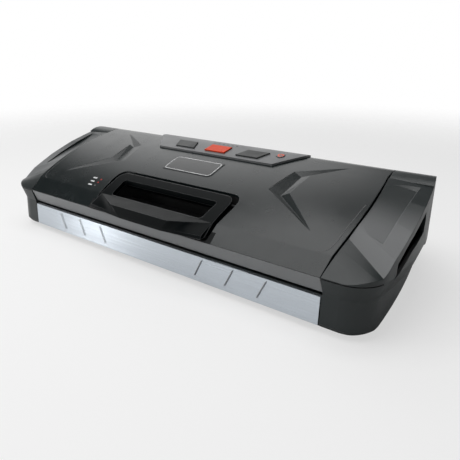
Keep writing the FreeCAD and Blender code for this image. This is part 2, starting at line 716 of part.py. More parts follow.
def make_lid_cover():
    half = size("lidHalf")
    skin = size("skinWall")
    bow = size("endBow")
    shell = lid_layer(-skin, 0.0, half, size("tailAngle"))
    flange = lid_layer(-skin, 0.0, half + bow, size("tailAngle")).common(
        bowed_end(half, bow, 0.0, sky))
    cover = shell.multiFuse([flange, mirrored(flange), lid_end(-half, -half + skin), lid_end(half - skin, half)]
                            + facet_pads())
    wall = size("recessWall")
    top = crown_height(recess_y + wall) + 5.0
    tub = recess_plan(wall, recess_floor - wall, top).common(section(
        [(lip_y + size("lipUndercut"), recess_floor - wall), (lip_y, recess_floor - wall), (lip_y, lip_z),
         (crease_y, crease_z), (pivot_y, crown_height(pivot_y) - 0.3), (recess_y + wall, crown_height(recess_y)),
         (recess_y + wall, recess_floor - wall)], -half + skin, half - skin))
    cover = cover.multiFuse([tub] + board_posts(3.0) + shaft_saddles())
    cut = [recess_plan(0.0, recess_floor, top + 5.0)]
    cut += key_holes(-size("boardDrop") + 1.0, 10.0)
    cut += [lens(x, y, 0.0, size("lensRadius") + size("fitClear"), -skin * 3, skin) for x, y in
            progress_places() + status_places()]
    cut += facet_tools()
    cut.append(rod((-half, pivot_y, pivot_z), size("shaftRadius") + size("fitClear"), 2 * half, (1, 0, 0)))
    cut.append(rod((-half - 1, hinge_y, hinge_z), size("pinRadius") + size("fitClear") + size("bushWall"),
                   2 * half + 2, (1, 0, 0)))
    solid = cover.cut(cut)
    reach = half + bow
    keep_ends = block((-reach, lip_y - 5, size("rimHeight")), (reach, rear_y, hinge_z + 60))
    return solid.common(keep_ends)


free_part("lid_cover", make_lid_cover())


def make_lid_liner():
    wall = size("skinWall")
    low = size("rimHeight") + size("linerDrop")
    step = hinge_y - size("riserReach")
    front = rim_y + wall + 2.0
    back = hinge_y - size("barrelRadius") * 0.7
    rise = size("riserHeight")
    half = inner_x
    plate = section([(front, low), (step, low), (step, rise), (back, rise), (back, rise + wall),
                     (step - wall, rise + wall), (step - wall, low + wall), (front, low + wall)], -half, half)
    slots = []
    for side in (-1, 1):
        slots.append(block((side * hook_x - size("hookThick"), pivot_y - size("hookSlotFront"), low - 1),
                           (side * hook_x + size("hookThick"), pivot_y + size("hookSlotRear"), low + wall + 1)))
    return plate.cut(slots)


free_part("lid_liner", make_lid_liner())


def make_control_panel():
    front = hinge_y - size("panelFrontSet")
    back = hinge_y + size("panelRearSet")
    near = size("panelFrontHalf")
    far = size("panelRearHalf")
    layer = lid_layer(0.0, size("panelThick"), far, size("tailAngle"))
    plan = upright([(-near, front), (near, front), (far, back - 10.0), (far, back), (-far, back),
                    (-far, back - 10.0)], crease_z, hinge_z + 60)
    panel = layer.common(plan)
    holes = key_holes(-10.0, 10.0)
    holes += [lens(x, y, 0.0, size("lensRadius") + size("fitClear"), -5.0, 8.0) for x, y in progress_places()]
    return panel.cut(holes)


free_part("control_panel", make_control_panel())


def make_badge():
    middle = hinge_y - size("badgeSet")
    wide = size("badgeWidth") / 2
    deep = size("badgeDepth") / 2
    chamfer = deep * 0.25
    plan = upright([(-wide, -deep), (wide - chamfer, -deep), (wide, -deep + chamfer), (wide, deep),
                    (-wide + chamfer, deep), (-wide, deep - chamfer)], crease_z, hinge_z + 60)
    plan.translate(Vector(-size("badgeX"), middle, 0))
    return lid_layer(0.0, size("badgeThick"), wide * 2, size("tailAngle")).common(plan)


free_part("badge_plate", make_badge())


def make_lenses(places, lift, low, high):
    return Part.makeCompound([lens(x, y, lift, size("lensRadius"), low, high) for x, y in places])


free_part("progress_lenses", make_lenses(progress_places(), size("panelThick"), -6.0, 0.2))
free_part("status_lenses", make_lenses(status_places(), 0.0, -5.0, 0.3))


stem_length = size("boardDrop") - size("panelThick") - size("buttonTravel") - size("keyGap") - size("switchSize") / 4


def make_key(name, x, skew):
    """A key: its face padded from a sketch, with a stem towards its switch."""
    wide = "$buttonWidth / 2"
    deep = "$buttonDepth / 2"
    body = sketched(name + "_face", "XY_Plane",
                    [("-%s - (%s)" % (wide, skew), "-%s" % deep), ("%s - (%s)" % (wide, skew), "-%s" % deep),
                     ("%s + (%s)" % (wide, skew), deep), ("-%s + (%s)" % (wide, skew), deep)],
                    "$buttonProud + $panelThick", middle=False)
    doc.recompute()
    pad = body.Tip
    top = pad.Shape.BoundBox.ZMax
    names = ["Edge%d" % (k + 1) for k, edge in enumerate(pad.Shape.Edges) if edge.BoundBox.ZMin > top - 1e-6]
    cap = body.newObject("PartDesign::Fillet", name + "_edge")
    cap.Base = (pad, names)
    cap.setExpression("Radius", bound("$buttonEdge"))
    body.Tip = cap
    seat = lid_frame(x, hinge_y - size("buttonSet"), 0.0)
    body.Placement = seat
    stem = doc.addObject("Part::Cylinder", name + "_stem")
    stem.setExpression("Radius", bound("$stemRadius"))
    stem.setExpression("Height", bound("$boardDrop - $panelThick - $buttonTravel - $keyGap - $switchSize / 4"))
    stem.Placement = seat.multiply(Placement(Vector(0, 0, -stem_length), Rotation()))
    return keep(fused(name + "_key", [body, stem]), name)


make_key("left_button", -size("buttonPitch"), "-$buttonSkew")
make_key("vacuum_seal_button", 0.0, "0")
make_key("right_button", size("buttonPitch"), "$buttonSkew")


def make_power_button():
    cap = rod((0, 0, 0), size("powerRadius"), size("panelThick") + size("buttonProud") / 2, (0, 0, 1))
    rounded = cap.makeFillet(0.5, [edge for edge in cap.Edges if edge.BoundBox.ZMin > size("panelThick")])
    stem = rod((0, 0, -stem_length), size("stemRadius"), stem_length, (0, 0, 1))
    key = rounded.fuse(stem)
    key.Placement = lid_frame(power_x, power_y, 0.0)
    return key


free_part("power_button", make_power_button())


def make_control_board():
    drop = -size("boardDrop")
    sheet_of_board = block((-board_width / 2, -board_depth / 2, drop - size("boardThick")),
                           (board_width / 2, board_depth / 2, drop))
    pieces = [sheet_of_board]
    frame = button_frame(0)
    tall = size("switchSize") / 4
    for x in (-size("buttonPitch"), 0.0, size("buttonPitch")):
        pieces.append(block((x - 3, -3, drop), (x + 3, 3, drop + tall)))
    spot = frame.inverse().multVec(lid_frame(power_x, power_y, size("panelThick")).Base)
    pieces.append(block((spot.x - 3, spot.y - 3, drop), (spot.x + 3, spot.y + 3, drop + tall * 0.6)))
    board = pieces[0].multiFuse(pieces[1:])
    board.Placement = frame
    return board


free_part("control_board", make_control_board())


# Handle and latch

def make_nose(half):
    """The handle's nose: level on top, upright in front, with slanted cheeks that run back to its ends."""
    top = crease_z + size("handleProud")
    low = lip_z + size("noseLow")
    nose_y = lip_y - size("noseReach")
    rear = crease_y - 0.2
    heel_y = nose_y + size("noseLean") / 2
    brow_z = top - size("noseTilt")
    heel_z = low + size("noseChin")
    corner = Vector(size("noseHalf"), rear, top)
    brow = Vector(size("noseHalf") + size("noseFlare"), nose_y, brow_z)
    heel = Vector(size("noseHalf") - size("noseHeel"), heel_y, heel_z)
    normal = (brow - corner).cross(heel - corner)

    def on_cheek(y, z):
        return Vector(corner.x - (normal.y * (y - corner.y) + normal.z * (z - corner.z)) / normal.x, y, z)

    inner = [corner, brow, heel, on_cheek(nose_y + size("noseLean"), low), on_cheek(rear, low)]
    end_low = lip_z + size("noseEndLow")
    end_top = crease_z + size("noseEndProud")
    end_y = lip_y - size("noseReach") / 2
    outer = [Vector(half, rear, end_top), Vector(half, rear - 0.8, end_top), Vector(half, end_y + 1.0, heel_z + 2.5),
             Vector(half, end_y, end_low), Vector(half, rear, end_low)]
    far = [Vector(-point.x, point.y, point.z) for point in inner]
    rings = [Part.makePolygon(ring + ring[:1]) for ring in (inner, outer, far)]
    wing = lofted([rings[0], rings[1]])
    nose = lofted([rings[2], rings[0]]).multiFuse([wing, mirrored(wing)])
    under = recess_floor + size("handleLift")
    face = lip_y - size("noseClear")
    return nose.cut(block((-half * 2, face, low - 5), (half * 2, crease_y + 10, under)))


def make_handle():
    half = size("recessHalf") - size("handleGap")
    proud = size("handleProud")
    slab = lid_layer(proud - size("handleThick"), proud, half, 90)
    far = pivot_y + size("handleTail")
    near = half - size("handleTaper")
    plan = upright([(-near, lip_y - 20), (near, lip_y - 20), (half, crease_y + 20), (half, far), (-half, far),
                    (-half, crease_y + 20)], recess_floor + size("handleLift"), sky)
    frame = slab.common(rounded(plan, [(half, far), (-half, far)], size("handleCorner")))
    front = crease_y + size("windowFrontSet")
    back = far - size("windowRearSet")
    wide = size("windowHalf")
    close = wide - size("windowTaper")
    corners = [(-close, front), (close, front), (wide, back), (-wide, back)]
    window = rounded(upright(corners, 0, sky), corners, size("windowCorner"))
    boss = size("pivotBoss")
    long = half - size("handleCorner")
    barrel = rod((-long, pivot_y, pivot_z), boss, 2 * long, (1, 0, 0))
    web = section([(pivot_y - boss, pivot_z), (pivot_y + boss * 0.5, pivot_z), (far, crown_height(far) - 1.0),
                   (far - boss, crown_height(far - boss) - 2.0)], -long, long)
    solid = frame.cut(window).multiFuse([make_nose(near), barrel, web])
    return solid.cut(rod((-half - 5, pivot_y, pivot_z), size("shaftRadius"), 2 * half + 10, (1, 0, 0)))


free_part("lid_handle", make_handle())

keep(cylinder("latch_shaft", "$shaftRadius", "2 * ($lidHalf - $skinWall - $hookInset)",
              ("-($lidHalf - $skinWall - $hookInset)", "0", "0"), "x"), "latch_shaft")
shaft = doc.getObject("latch_shaft")
shaft.setExpression("Placement.Base.y", None)
shaft.setExpression("Placement.Base.z", None)
shaft.Placement = Placement(Vector(-(inner_x - size("hookInset")), pivot_y, pivot_z), axis_turn["x"])


def make_hook(name, side):
    """A hook on the latch shaft: an arm that hangs down, with a toe towards the rear."""
    wide = "$hookWidth / 2"
    body = sketched(name + "_plate", "YZ_Plane",
                    [("-%s" % wide, wide), (wide, wide), (wide, "-$hookReach + $hookFoot"),
                     ("%s + $hookToe" % wide, "-$hookReach + $hookFoot"), ("%s + $hookToe" % wide, "-$hookReach"),
                     ("-%s" % wide, "-$hookReach")], "$hookThick")
    body.Placement = Placement(Vector(side * hook_x, pivot_y, pivot_z), Rotation())
    bore = doc.addObject("Part::Cylinder", name + "_bore")
    bore.setExpression("Radius", bound("$shaftRadius"))
    bore.setExpression("Height", bound("$hookThick * 3"))
    bore.Placement = Placement(Vector(side * hook_x - 1.5 * size("hookThick"), pivot_y, pivot_z), axis_turn["x"])
    return keep(less(name + "_cut", body, [bore]), name)


make_hook("left_latch_hook", -1)
make_hook("right_latch_hook", 1)

toe_y = pivot_y + size("hookWidth") / 2 + size("hookToe")


def make_strikers():
    """Plates under the deck that the hooks' toes swing under."""
    top = deck_z - size("shellWall")
    wide = size("hookThick") + size("strikerSeat")
    near = toe_y + size("toeClear")
    far = pivot_y + size("hookSlotRear") + size("strikerSeat")
    plates = [block((side * hook_x - wide, near, top - size("strikerThick")), (side * hook_x + wide, far, top))
              for side in (-1, 1)]
    return Part.makeCompound(plates)


free_part("latch_strikers", make_strikers())


# Hinge

bush_outer = "$pinRadius + $fitClear + $bushWall"
hinge_screws = []
for side, name in ((-1, "left"), (1, "right")):
    reach = "$lidHalf - $bushLength"
    start = "-(%s)" % "$lidHalf" if side < 0 else reach
    sleeve = cylinder(name + "_bush_sleeve", bush_outer, "$bushLength", (start, hinge_text, "$hingeHeight"), "x")
    flange_start = "-($lidHalf - $skinWall)" if side < 0 else "$lidHalf - $skinWall - $bushFlange"
    flange = cylinder(name + "_bush_flange", bush_outer + " + $bushFlange", "$bushFlange",
                      (flange_start, hinge_text, "$hingeHeight"), "x")
    bore_start = "-$lidHalf - 1" if side < 0 else "%s - 1" % reach
    bore = cylinder(name + "_bush_bore", "$pinRadius + $fitClear", "$bushLength + 2",
                    (bore_start, hinge_text, "$hingeHeight"), "x")
    ring = fused(name + "_bush_ring", [sleeve, flange])
    keep(less(name + "_bush_cut", ring, [bore]), name + "_hinge_bush")
    pin_start = "-(%s + $pinOuter)" % seam_text if side < 0 else reach
    keep(cylinder(name + "_pin", "$pinRadius", "$bushLength + $seamGap + $pinOuter",
                  (pin_start, hinge_text, "$hingeHeight"), "x"), name + "_hinge_pin")
    plate_start = "-(%s + $shellWall + $bracketThick)" % seam_text if side < 0 else "%s + $shellWall" % seam_text
    plate_edges = ("$bracketThick", "$bracketWidth", "$hingeHeight - $legBottom + $pinRadius * 3")
    plate = box(name + "_bracket_plate", plate_edges,
                (plate_start, "%s - $bracketWidth / 2" % hinge_text, "$legBottom"))
    hole_start = "-(%s + $pinOuter + 1)" % seam_text if side < 0 else "%s - 1" % seam_text
    holes = [cylinder(name + "_bracket_hole", "$pinRadius", "$pinOuter + 2",
                      (hole_start, hinge_text, "$hingeHeight"), "x")]
    for k in range(2):
        row = "$legBottom + $hingeScrewLow + %d * $hingeScrewPitch" % k
        tip = "-(%s + $shellWall + $bracketThick)" % seam_text if side < 0 else seam_text
        cap_start = "-(%s + $shellWall + $bracketThick + $shellWall / 2)" % seam_text
        if side > 0:
            cap_start = "%s + $shellWall + $bracketThick" % seam_text
        holes.append(cylinder("%s_bracket_bore_%d" % (name, k), "$screwRadius", "$shellWall + $bracketThick",
                              (tip, hinge_text, row), "x"))
        shank = cylinder("%s_hinge_shank_%d" % (name, k), "$screwRadius", "$shellWall + $bracketThick",
                         (tip, hinge_text, row), "x")
        head = cylinder("%s_hinge_head_%d" % (name, k), "$screwHead", "$shellWall / 2",
                        (cap_start, hinge_text, row), "x")
        hinge_screws.append(fused("%s_hinge_screw_%d" % (name, k), [shank, head]))
    keep(less(name + "_bracket_cut", plate, holes), name + "_hinge_bracket")

keep(grouped("hinge_screw_set", hinge_screws), "hinge_screws")


# Base

tub_outer = box("tub_outer", ("2 * %s" % seam_text, "%s - %s" % (tub_rear_text, tub_front_text),
                              "%s - $shellWall - $footHeight" % deck_text),
                ("-%s" % seam_text, tub_front_text, "$footHeight"))
tub_inner = box("tub_inner", ("2 * (%s - $shellWall)" % seam_text,
                              "%s - %s - 2 * $shellWall" % (tub_rear_text, tub_front_text), deck_text),
                ("-(%s - $shellWall)" % seam_text, "%s + $shellWall" % tub_front_text, floor_text))
cheek_front = "(%s - $deckRiser + $shellWall + $runClear)" % hinge_text
cheek_edges = ("$shellWall", "%s - %s" % (tub_rear_text, cheek_front),
               "$legBottom + $deckGap + 2 * $shellWall - $rimHeight")
cheeks = [box(name + "_cheek", cheek_edges, (place, cheek_front, "%s - $shellWall" % deck_text))
          for name, place in (("left", "-%s" % seam_text), ("right", "%s - $shellWall" % seam_text))]
boss_front = "(%s + $bossFrontSet)" % tub_front_text
boss_rear = "(%s - $deckRiser + $bossRearSet)" % hinge_text
screw_places = [("-$bossFrontX", boss_front), ("$bossFrontX", boss_front),
                ("-$bossRearX", boss_rear), ("$bossRearX", boss_rear)]
tub_holes = [tub_inner]
screws = []
for k, (x, y) in enumerate(screw_places):
    tub_holes.append(cylinder("tub_hole_%d" % k, "$screwRadius", "$shellWall + 2", (x, y, "$footHeight - 1")))
    tub_holes.append(cylinder("tub_sink_%d" % k, "$screwHead", "$shellWall / 2 + 1", (x, y, "$footHeight - 1")))
    head = cylinder("screw_head_%d" % k, "$screwHead", "$shellWall / 2", (x, y, "$footHeight"))
    shank = cylinder("screw_shank_%d" % k, "$screwRadius", "$screwLength", (x, y, "$footHeight"))
    screws.append(fused("screw_%d" % k, [head, shank]))
keep(less("tub_cut", fused("tub_walls", [tub_outer] + cheeks), tub_holes), "base_tub")
keep(grouped("screw_set", screws), "base_screws")

keep(sketched("strip", "YZ_Plane",
              [(tub_front_text, "$rimHeight - $stripGap - $stripHeight"),
               ("%s - $stripThick - $stripLean / 2" % tub_front_text, "$rimHeight - $stripGap - $stripHeight"),
               ("%s - $stripThick + $stripLean / 2" % tub_front_text, "$rimHeight - $stripGap"),
               (tub_front_text, "$rimHeight - $stripGap")], "2 * $lidHalf"), "front_strip")


def make_deck():
    wall = size("shellWall")
    riser = hinge_y - size("deckRiser")
    rear = size("deckRear")
    radius = size("barrelRadius") + size("barrelClear")
    roof_under = size("barrelRadius") - size("roofWall") * math.sin(math.radians(roof_turn)) - size("roofClear")
    end_angle = roof_turn - math.degrees(math.acos(roof_under / (radius + wall)))

    def level_edges(inset):
        ring = radius + inset
        level = rear - inset
        start = hinge_y - math.sqrt(ring ** 2 - (hinge_z - level) ** 2)
        points = [at(tub_front, deck_z - inset), at(riser + inset, deck_z - inset), at(riser + inset, level),
                  at(start, level)]
        lines = [segment(a, b) for a, b in zip(points[:-1], points[1:])]
        first = math.degrees(math.atan2(level - hinge_z, start - hinge_y))
        middle = polar(ring, (first + end_angle) / 2 if first < 0 else -90)
        last = polar(ring, end_angle)
        return lines + [arc(points[-1], at(*middle), at(*last))], points[0], at(*last)

    upper, upper_start, upper_end = level_edges(0.0)
    lower, lower_start, lower_end = level_edges(wall)
    wire = Part.Wire(Part.__sortEdges__(upper + lower + [segment(upper_start, lower_start),
                                                         segment(upper_end, lower_end)]))
    face = Part.Face(wire)
    face.translate(Vector(-seam_x, 0, 0))
    deck = face.extrude(Vector(2 * seam_x, 0, 0))
    front = lip_y + size("troughFront")
    half = trough_half
    wide = size("troughWidth")
    deep = size("troughDeep")
    rim = 2.0
    pan = block((-half - rim, front - rim, deck_z - deep - rim), (half + rim, front + wide + rim, deck_z - wall / 2))
    bar_y = lip_y + size("barSet")
    bar_low = size("rimHeight") - size("sealFace") - size("barHeight")
    room = size("runClear") / 2
    shelf = block((-bar_half, bar_y - size("barWidth") / 2 - rim, bar_low - rim),
                  (bar_half, bar_y + size("barWidth") / 2 + rim, deck_z - wall / 2))
    bosses = []
    bores = []
    floor = size("footHeight") + wall
    front_row = tub_front + size("bossFrontSet")
    rear_row = riser + size("bossRearSet")
    for side in (-1, 1):
        for x, y, top in ((size("bossFrontX"), front_row, deck_z), (size("bossRearX"), rear_row, rear)):
            bosses.append(rod((side * x, y, floor), size("bossRadius"), top - wall / 2 - floor, (0, 0, 1)))
            bores.append(rod((side * x, y, floor - 1), size("screwRadius"), size("screwLength"), (0, 0, 1)))
    deck = deck.multiFuse([pan, shelf] + bosses)
    land = size("gasketLand")
    ring = size("gasketWidth")
    seat = size("gasketSeat")
    groove = block((-half - land - ring, front - land - ring, deck_z - seat),
                   (half + land + ring, front + wide + land + ring, deck_z + 5))
    island = block((-half - land, front - land, deck_z - seat - 1), (half + land, front + wide + land, deck_z + 6))
    cut = [block((-half, front, deck_z - deep), (half, front + wide, deck_z + 5)), groove.cut(island),
           block((-bar_half - room, bar_y - size("barWidth") / 2 - room, bar_low),
                 (bar_half + room, bar_y + size("barWidth") / 2 + room, deck_z + 5))]
    port_x = size("motorX") + size("motorLength") + size("pumpLength") / 2
    port = (port_x, front + wide - 1, deck_z - deep + size("hoseRise"))
    cut.append(rod(port, size("hoseBore"), rim + 2, (0, 1, 0)))
    cut += bores
    for side in (-1, 1):
        cut.append(block((side * hook_x - size("hookThick"), pivot_y - size("hookSlotFront"), deck_z - wall - 1),
                         (side * hook_x + size("hookThick"), pivot_y + size("hookSlotRear"), deck_z + 1)))
    deck = deck.cut(cut)
    return deck


free_part("base_deck", make_deck())

tray_half = "($lidHalf - $troughInset - $runClear)"
tray_front = "(%s + $troughFront + $runClear)" % lip_text
tray_wide = "($troughWidth - 2 * $runClear)"
tray_outer = box("tray_outer", ("2 * %s" % tray_half, tray_wide, "$troughDeep - $trayDrop"),
                 ("-%s" % tray_half, tray_front, "%s - $troughDeep" % deck_text))
tray_inner = box("tray_inner", ("2 * (%s - $trayWall)" % tray_half, "%s - 2 * $trayWall" % tray_wide, "$troughDeep"),
                 ("-(%s - $trayWall)" % tray_half, "%s + $trayWall" % tray_front,
                  "%s - $troughDeep + $trayWall" % deck_text))
keep(less("tray_cut", tray_outer, [tray_inner]), "drip_tray")


def gasket(name, label, low, tall):
    """A flat ring round the vacuum trough."""
    inner = "($lidHalf - $troughInset + $gasketLand)"
    outer = "($lidHalf - $troughInset + $gasketLand + $gasketWidth)"
    near = "(%s + $troughFront - $gasketLand)" % lip_text
    wide = "($troughWidth + 2 * $gasketLand)"
    ring = box(name + "_outer", ("2 * %s" % outer, "%s + 2 * $gasketWidth" % wide, tall),
               ("-%s" % outer, "%s - $gasketWidth" % near, low))
    hole = box(name + "_inner", ("2 * %s" % inner, wide, "%s + 2" % tall),
               ("-%s" % inner, near, "%s - 1" % low))
    keep(less(name + "_cut", ring, [hole]), label)


gasket("low_gasket", "lower_gasket", "%s - $gasketSeat" % deck_text, "$gasketSeat + $deckGap - $sealFace")
gasket("high_gasket", "upper_gasket", "$rimHeight", "$linerDrop")

bar_middle = "(%s + $barSet)" % lip_text
bar_top = "($rimHeight - $sealFace)"
keep(box("bar", ("2 * ($lidHalf - $barInset)", "$barWidth", "$barHeight - $wireThick - $tapeThick"),
         ("-($lidHalf - $barInset)", "%s - $barWidth / 2" % bar_middle, "%s - $barHeight" % bar_top)), "seal_bar")
keep(box("wire", ("2 * ($lidHalf - $barInset)", "$wireWidth", "$wireThick"),
         ("-($lidHalf - $barInset)", "%s - $wireWidth / 2" % bar_middle,
          "%s - $wireThick - $tapeThick" % bar_top)), "heating_wire")
keep(box("tape", ("2 * ($lidHalf - $barInset)", "$barWidth", "$tapeThick"),
         ("-($lidHalf - $barInset)", "%s - $barWidth / 2" % bar_middle, "%s - $tapeThick" % bar_top)), "release_tape")
keep(box("rubber", ("2 * ($lidHalf - $barInset)", "$barWidth", "$linerDrop"),
         ("-($lidHalf - $barInset)", "%s - $barWidth / 2" % bar_middle, "$rimHeight")), "seal_rubber")


# End caps and rear caps

# An end cap's outer wall is an arc from the front to the rear cap, whose own arc carries on along its tangent.
cap_reach = (split_y - cap_front) / 2
cap_radius = cap_reach ** 2 / (2 * size("capBow")) + size("capBow") / 2
cap_centre = (outer_x + size("capBow") - cap_radius, cap_front + cap_reach)
wide_x = outer_x + size("capBow")
cover_share = size("coverRadius") / cap_radius
cover_centre = (outer_x - (outer_x - cap_centre[0]) * cover_share,
                split_y - (split_y - cap_centre[1]) * cover_share)


def bend_row(inset):
    """Depth at which the two arcs of a cap's wall meet, drawn in by an inset."""
    return split_y - inset * (split_y - cap_centre[1]) / cap_radius


def wall_points(centre, radius, rows, z):
    """Points at the given depths on an arc of a cap's outer wall."""
    return [Vector(centre[0] + math.sqrt(radius ** 2 - (y - centre[1]) ** 2), y, z) for y in rows]


def cap_outline(inset, z, y_low, y_high):
    """Plan of a right-hand cap, drawn in by an inset, from y_low to y_high."""
    edges = []
    bend = max(y_low, bend_row(inset))
    cover = wall_points(cover_centre, size("coverRadius") - inset, (bend, (bend + y_high) / 2, y_high), z)
    if y_low < split_y:
        corner = size("capCorner")
        turn = corner - inset
        front = cap_front + inset
        centre_y = cap_front + corner
        span = cap_radius - corner
        centre_x = cap_centre[0] + math.sqrt(span ** 2 - (centre_y - cap_centre[1]) ** 2)
        along = ((centre_x - cap_centre[0]) / span, (centre_y - cap_centre[1]) / span)
        tilt = math.atan2(along[1], along[0]) / 2 - math.pi / 4
        start = Vector(seam_x, front, z)
        toe = Vector(centre_x, front, z)
        end = Vector(centre_x + along[0] * turn, centre_y + along[1] * turn, z)
        edges.append(segment(start, toe))
        edges.append(arc(toe, Vector(centre_x + turn * math.cos(tilt), centre_y + turn * math.sin(tilt), z), end))
        half_way = wall_points(cap_centre, cap_radius - inset, ((end.y + bend) / 2,), z)[0]
        edges.append(arc(end, half_way, cover[0]))
    else:
        start = Vector(seam_x, y_low, z)
        edges.append(segment(start, cover[0]))
    edges.append(arc(*cover))
    last = Vector(seam_x, y_high, z)
    edges.append(segment(cover[2], last))
    edges.append(segment(last, start))
    return Part.Wire(edges)


def cap_stack(extra, levels, y_low, y_high):
    return lofted([cap_outline(inset + extra, z, y_low, y_high) for z, inset in levels])


def cap_levels(low, high):
    return [(low, size("capToe") + size("capRound") * 0.7), (low + size("capRound"), size("capToe")),
            (size("rimHeight"), size("capTuck")), (shoulder_z, 0.0), (high, 0.0)]


def edge_line(inner):
    """Upper edge of an end cap as (y, z) points, along the seam or along the outer rail."""
    shares = (1 / 3, 2 / 3, 1)
    steps = (0, 0.2, 0.42, 0.7, 1)
    if inner:
        hip = cap_front + size("facetInner")
        drop = size("capDrop")
        rise = crown_height(hip) - drop - shoulder_z
        swell = size("facetSwell")
    else:
        hip = cap_front + size("facetOuter")
        drop = size("kneeDrop")
        rise = size("hipRise")
        swell = 0.0
    line = [(cap_front - 5, shoulder_z - 5.0 if inner else shoulder_z)]
    for step in steps:
        z = shoulder_z + rise * step + swell * 4 * step * (1 - step)
        line.append((cap_front + (hip - cap_front) * step, z))
    knee = hip + size("kneeSet")
    fall = 0.0 if inner else drop - size("railEnd")
    line.append((knee, crown_height(knee) - drop))
    for share in shares:
        y = knee + (split_y - knee) * share
        line.append((y, crown_height(y) - drop + fall * share))
    return line


def height_on(line, y):
    for (y0, z0), (y1, z1) in zip(line[:-1], line[1:]):
        if y0 <= y <= y1:
            return z0 + (z1 - z0) * (y - y0) / (y1 - y0)
    return line[-1][1]


def cap_top_tool(drop):
    """What lies above an end cap's facets."""
    rings = []
    for inner in (True, False):
        line = [(y, z - drop) for y, z in edge_line(inner)]
        rings.append(line + [(rear_y, line[-1][1]), (rear_y, 2 * sky), (cap_front - 5, 2 * sky)])
    return ruled_tool(rings[0], seam_x - 0.01, rings[1], wide_x + 0.01)


def scoop_tool(drop):
    """The sunken panel of an end cap: level at the seam, deeper at the rail, with a leaning rear wall."""
    foot = split_y - size("scoopWall")
    back = split_y - size("scoopEdge") - drop
    rings = []
    inner = (seam_x - 1.0, size("scoopInner"), -size("scoopLift"), -size("scoopLift"))
    outer = (wide_x - size("railWidth") + drop, size("scoopOuter"), size("scoopStep"), size("scoopDeep"))
    for x, front, step, deep in (inner, outer):
        share = (x - seam_x) / (wide_x - seam_x)

        def surface(y):
            return height_on(edge_line(True), y) * (1 - share) + height_on(edge_line(False), y) * share

        row = cap_front + front
        rings.append([(row, surface(row) - step - drop), (foot - drop, surface(foot) - deep - drop),
                      (back, surface(back) + 1.0 - drop), (back, sky), (row, sky)])
    return ruled_tool(rings[0], inner[0], rings[1], outer[0])


def slot_tool():
    """The grip slot in an end cap's side."""
    front = cap_front + size("slotFront")
    rear = split_y - size("slotRear")
    low = size("slotLow")
    run = rear - front
    rise = run * math.tan(math.radians(size("slotSlope")))
    tall = size("slotTall")
    lower = [(0.0, 0.0), (0.2, size("slotBelly") * 0.8), (0.48, size("slotBelly")), (1.0, 0.0)]
    upper = [(1.03, tall * 0.5), (0.97, tall), (0.55, tall), (0.28, tall * 0.97), (0.03, tall * 0.77)]
    points = [(front + run * share, low + rise * share + lift) for share, lift in lower + upper]
    return section(points, outer_x - size("slotDeep"), wide_x + 5.0)


def sweep_tool(lift):
    """What lies under the rising lower edge of an end cap, or under a surface above it."""
    start = cap_front + size("sweepFront")
    end = rear_y
    rise = (end - start) * math.tan(math.radians(size("sweepSlope")))
    low = size("footHeight") + lift
    return section([(start, low), (end, low + rise), (end, low - 20), (start, low - 20)], seam_x - 5, wide_x + 5)


def line_tool():
    """The dark line under an end cap's shoulder, along its front and round its corner."""
    low = shoulder_z - size("lineHeight")
    end = cap_front + size("facetOuter") + 3.0
    inside = Part.Face(cap_outline(size("lineDeep"), low, cap_front, split_y + 1.0)).extrude(
        Vector(0, 0, size("lineHeight")))
    return block((seam_x, cap_front - 5, low), (wide_x + 5, end, shoulder_z)).cut(inside)


def make_end_cap():
    wall = size("shellWall")
    low = size("footHeight")
    tail = split_y + 26.0
    gap = size("coverGap")
    bow = size("endBow")
    body = cap_stack(0.0, cap_levels(low, sky), cap_front, tail)
    rear_zone = block((seam_x - 5, split_y, size("legBottom") - gap), (wide_x + 5, tail + 5, sky + 60))
    lid_room = bowed_end(seam_x, bow, deck_z, sky + 60).cut(sweep_tool(wall))
    for tool in (cap_top_tool(0.0), rear_zone, scoop_tool(0.0), sweep_tool(0.0), line_tool(), lid_room):
        body = body.cut(tool)
    hollow = cap_stack(wall, cap_levels(low, sky), cap_front, tail - wall)
    hollow = hollow.common(block((seam_x + wall, cap_front, low + wall), (wide_x, tail - wall, sky)))
    rear_inner = block((seam_x - 5, split_y - wall, size("legBottom") - gap - wall), (wide_x + 5, tail + 5, sky + 60))
    for tool in (cap_top_tool(wall), rear_inner, scoop_tool(wall), sweep_tool(wall),
                 bowed_end(seam_x + wall, bow, deck_z - wall, sky + 60)):
        hollow = hollow.cut(tool)
    return body.cut(hollow).cut(slot_tool())


end_cap = make_end_cap()
free_part("right_end_cap", end_cap)
free_part("left_end_cap", mirrored(end_cap))


def rear_profile(drop, low, front, rear):
    """Section of the rear caps: the barrel's curve, then the falling rear."""
    radius = size("barrelRadius") - drop
    start_z = hinge_z + math.sqrt(radius ** 2 - (front - hinge_y) ** 2)
    bend = polar(radius, roof_turn)
    first = math.degrees(math.atan2(start_z - hinge_z, front - hinge_y))
    middle = polar(radius, (first + roof_turn) / 2)
    end_z = bend[1] - (rear - bend[0]) * roof_fall
    corners = [at(*bend), at(rear, end_z), at(rear, low), at(front, low), at(front, start_z)]
    edges = [arc(at(front, start_z), at(*middle), at(*bend))]
    edges += [segment(a, b) for a, b in zip(corners[:-1], corners[1:])]
    return Part.Wire(Part.__sortEdges__(edges))


def swept_section(wire, x_low, x_high):
    face = Part.Face(wire)
    face.translate(Vector(x_low, 0, 0))
    return face.extrude(Vector(x_high - x_low, 0, 0))


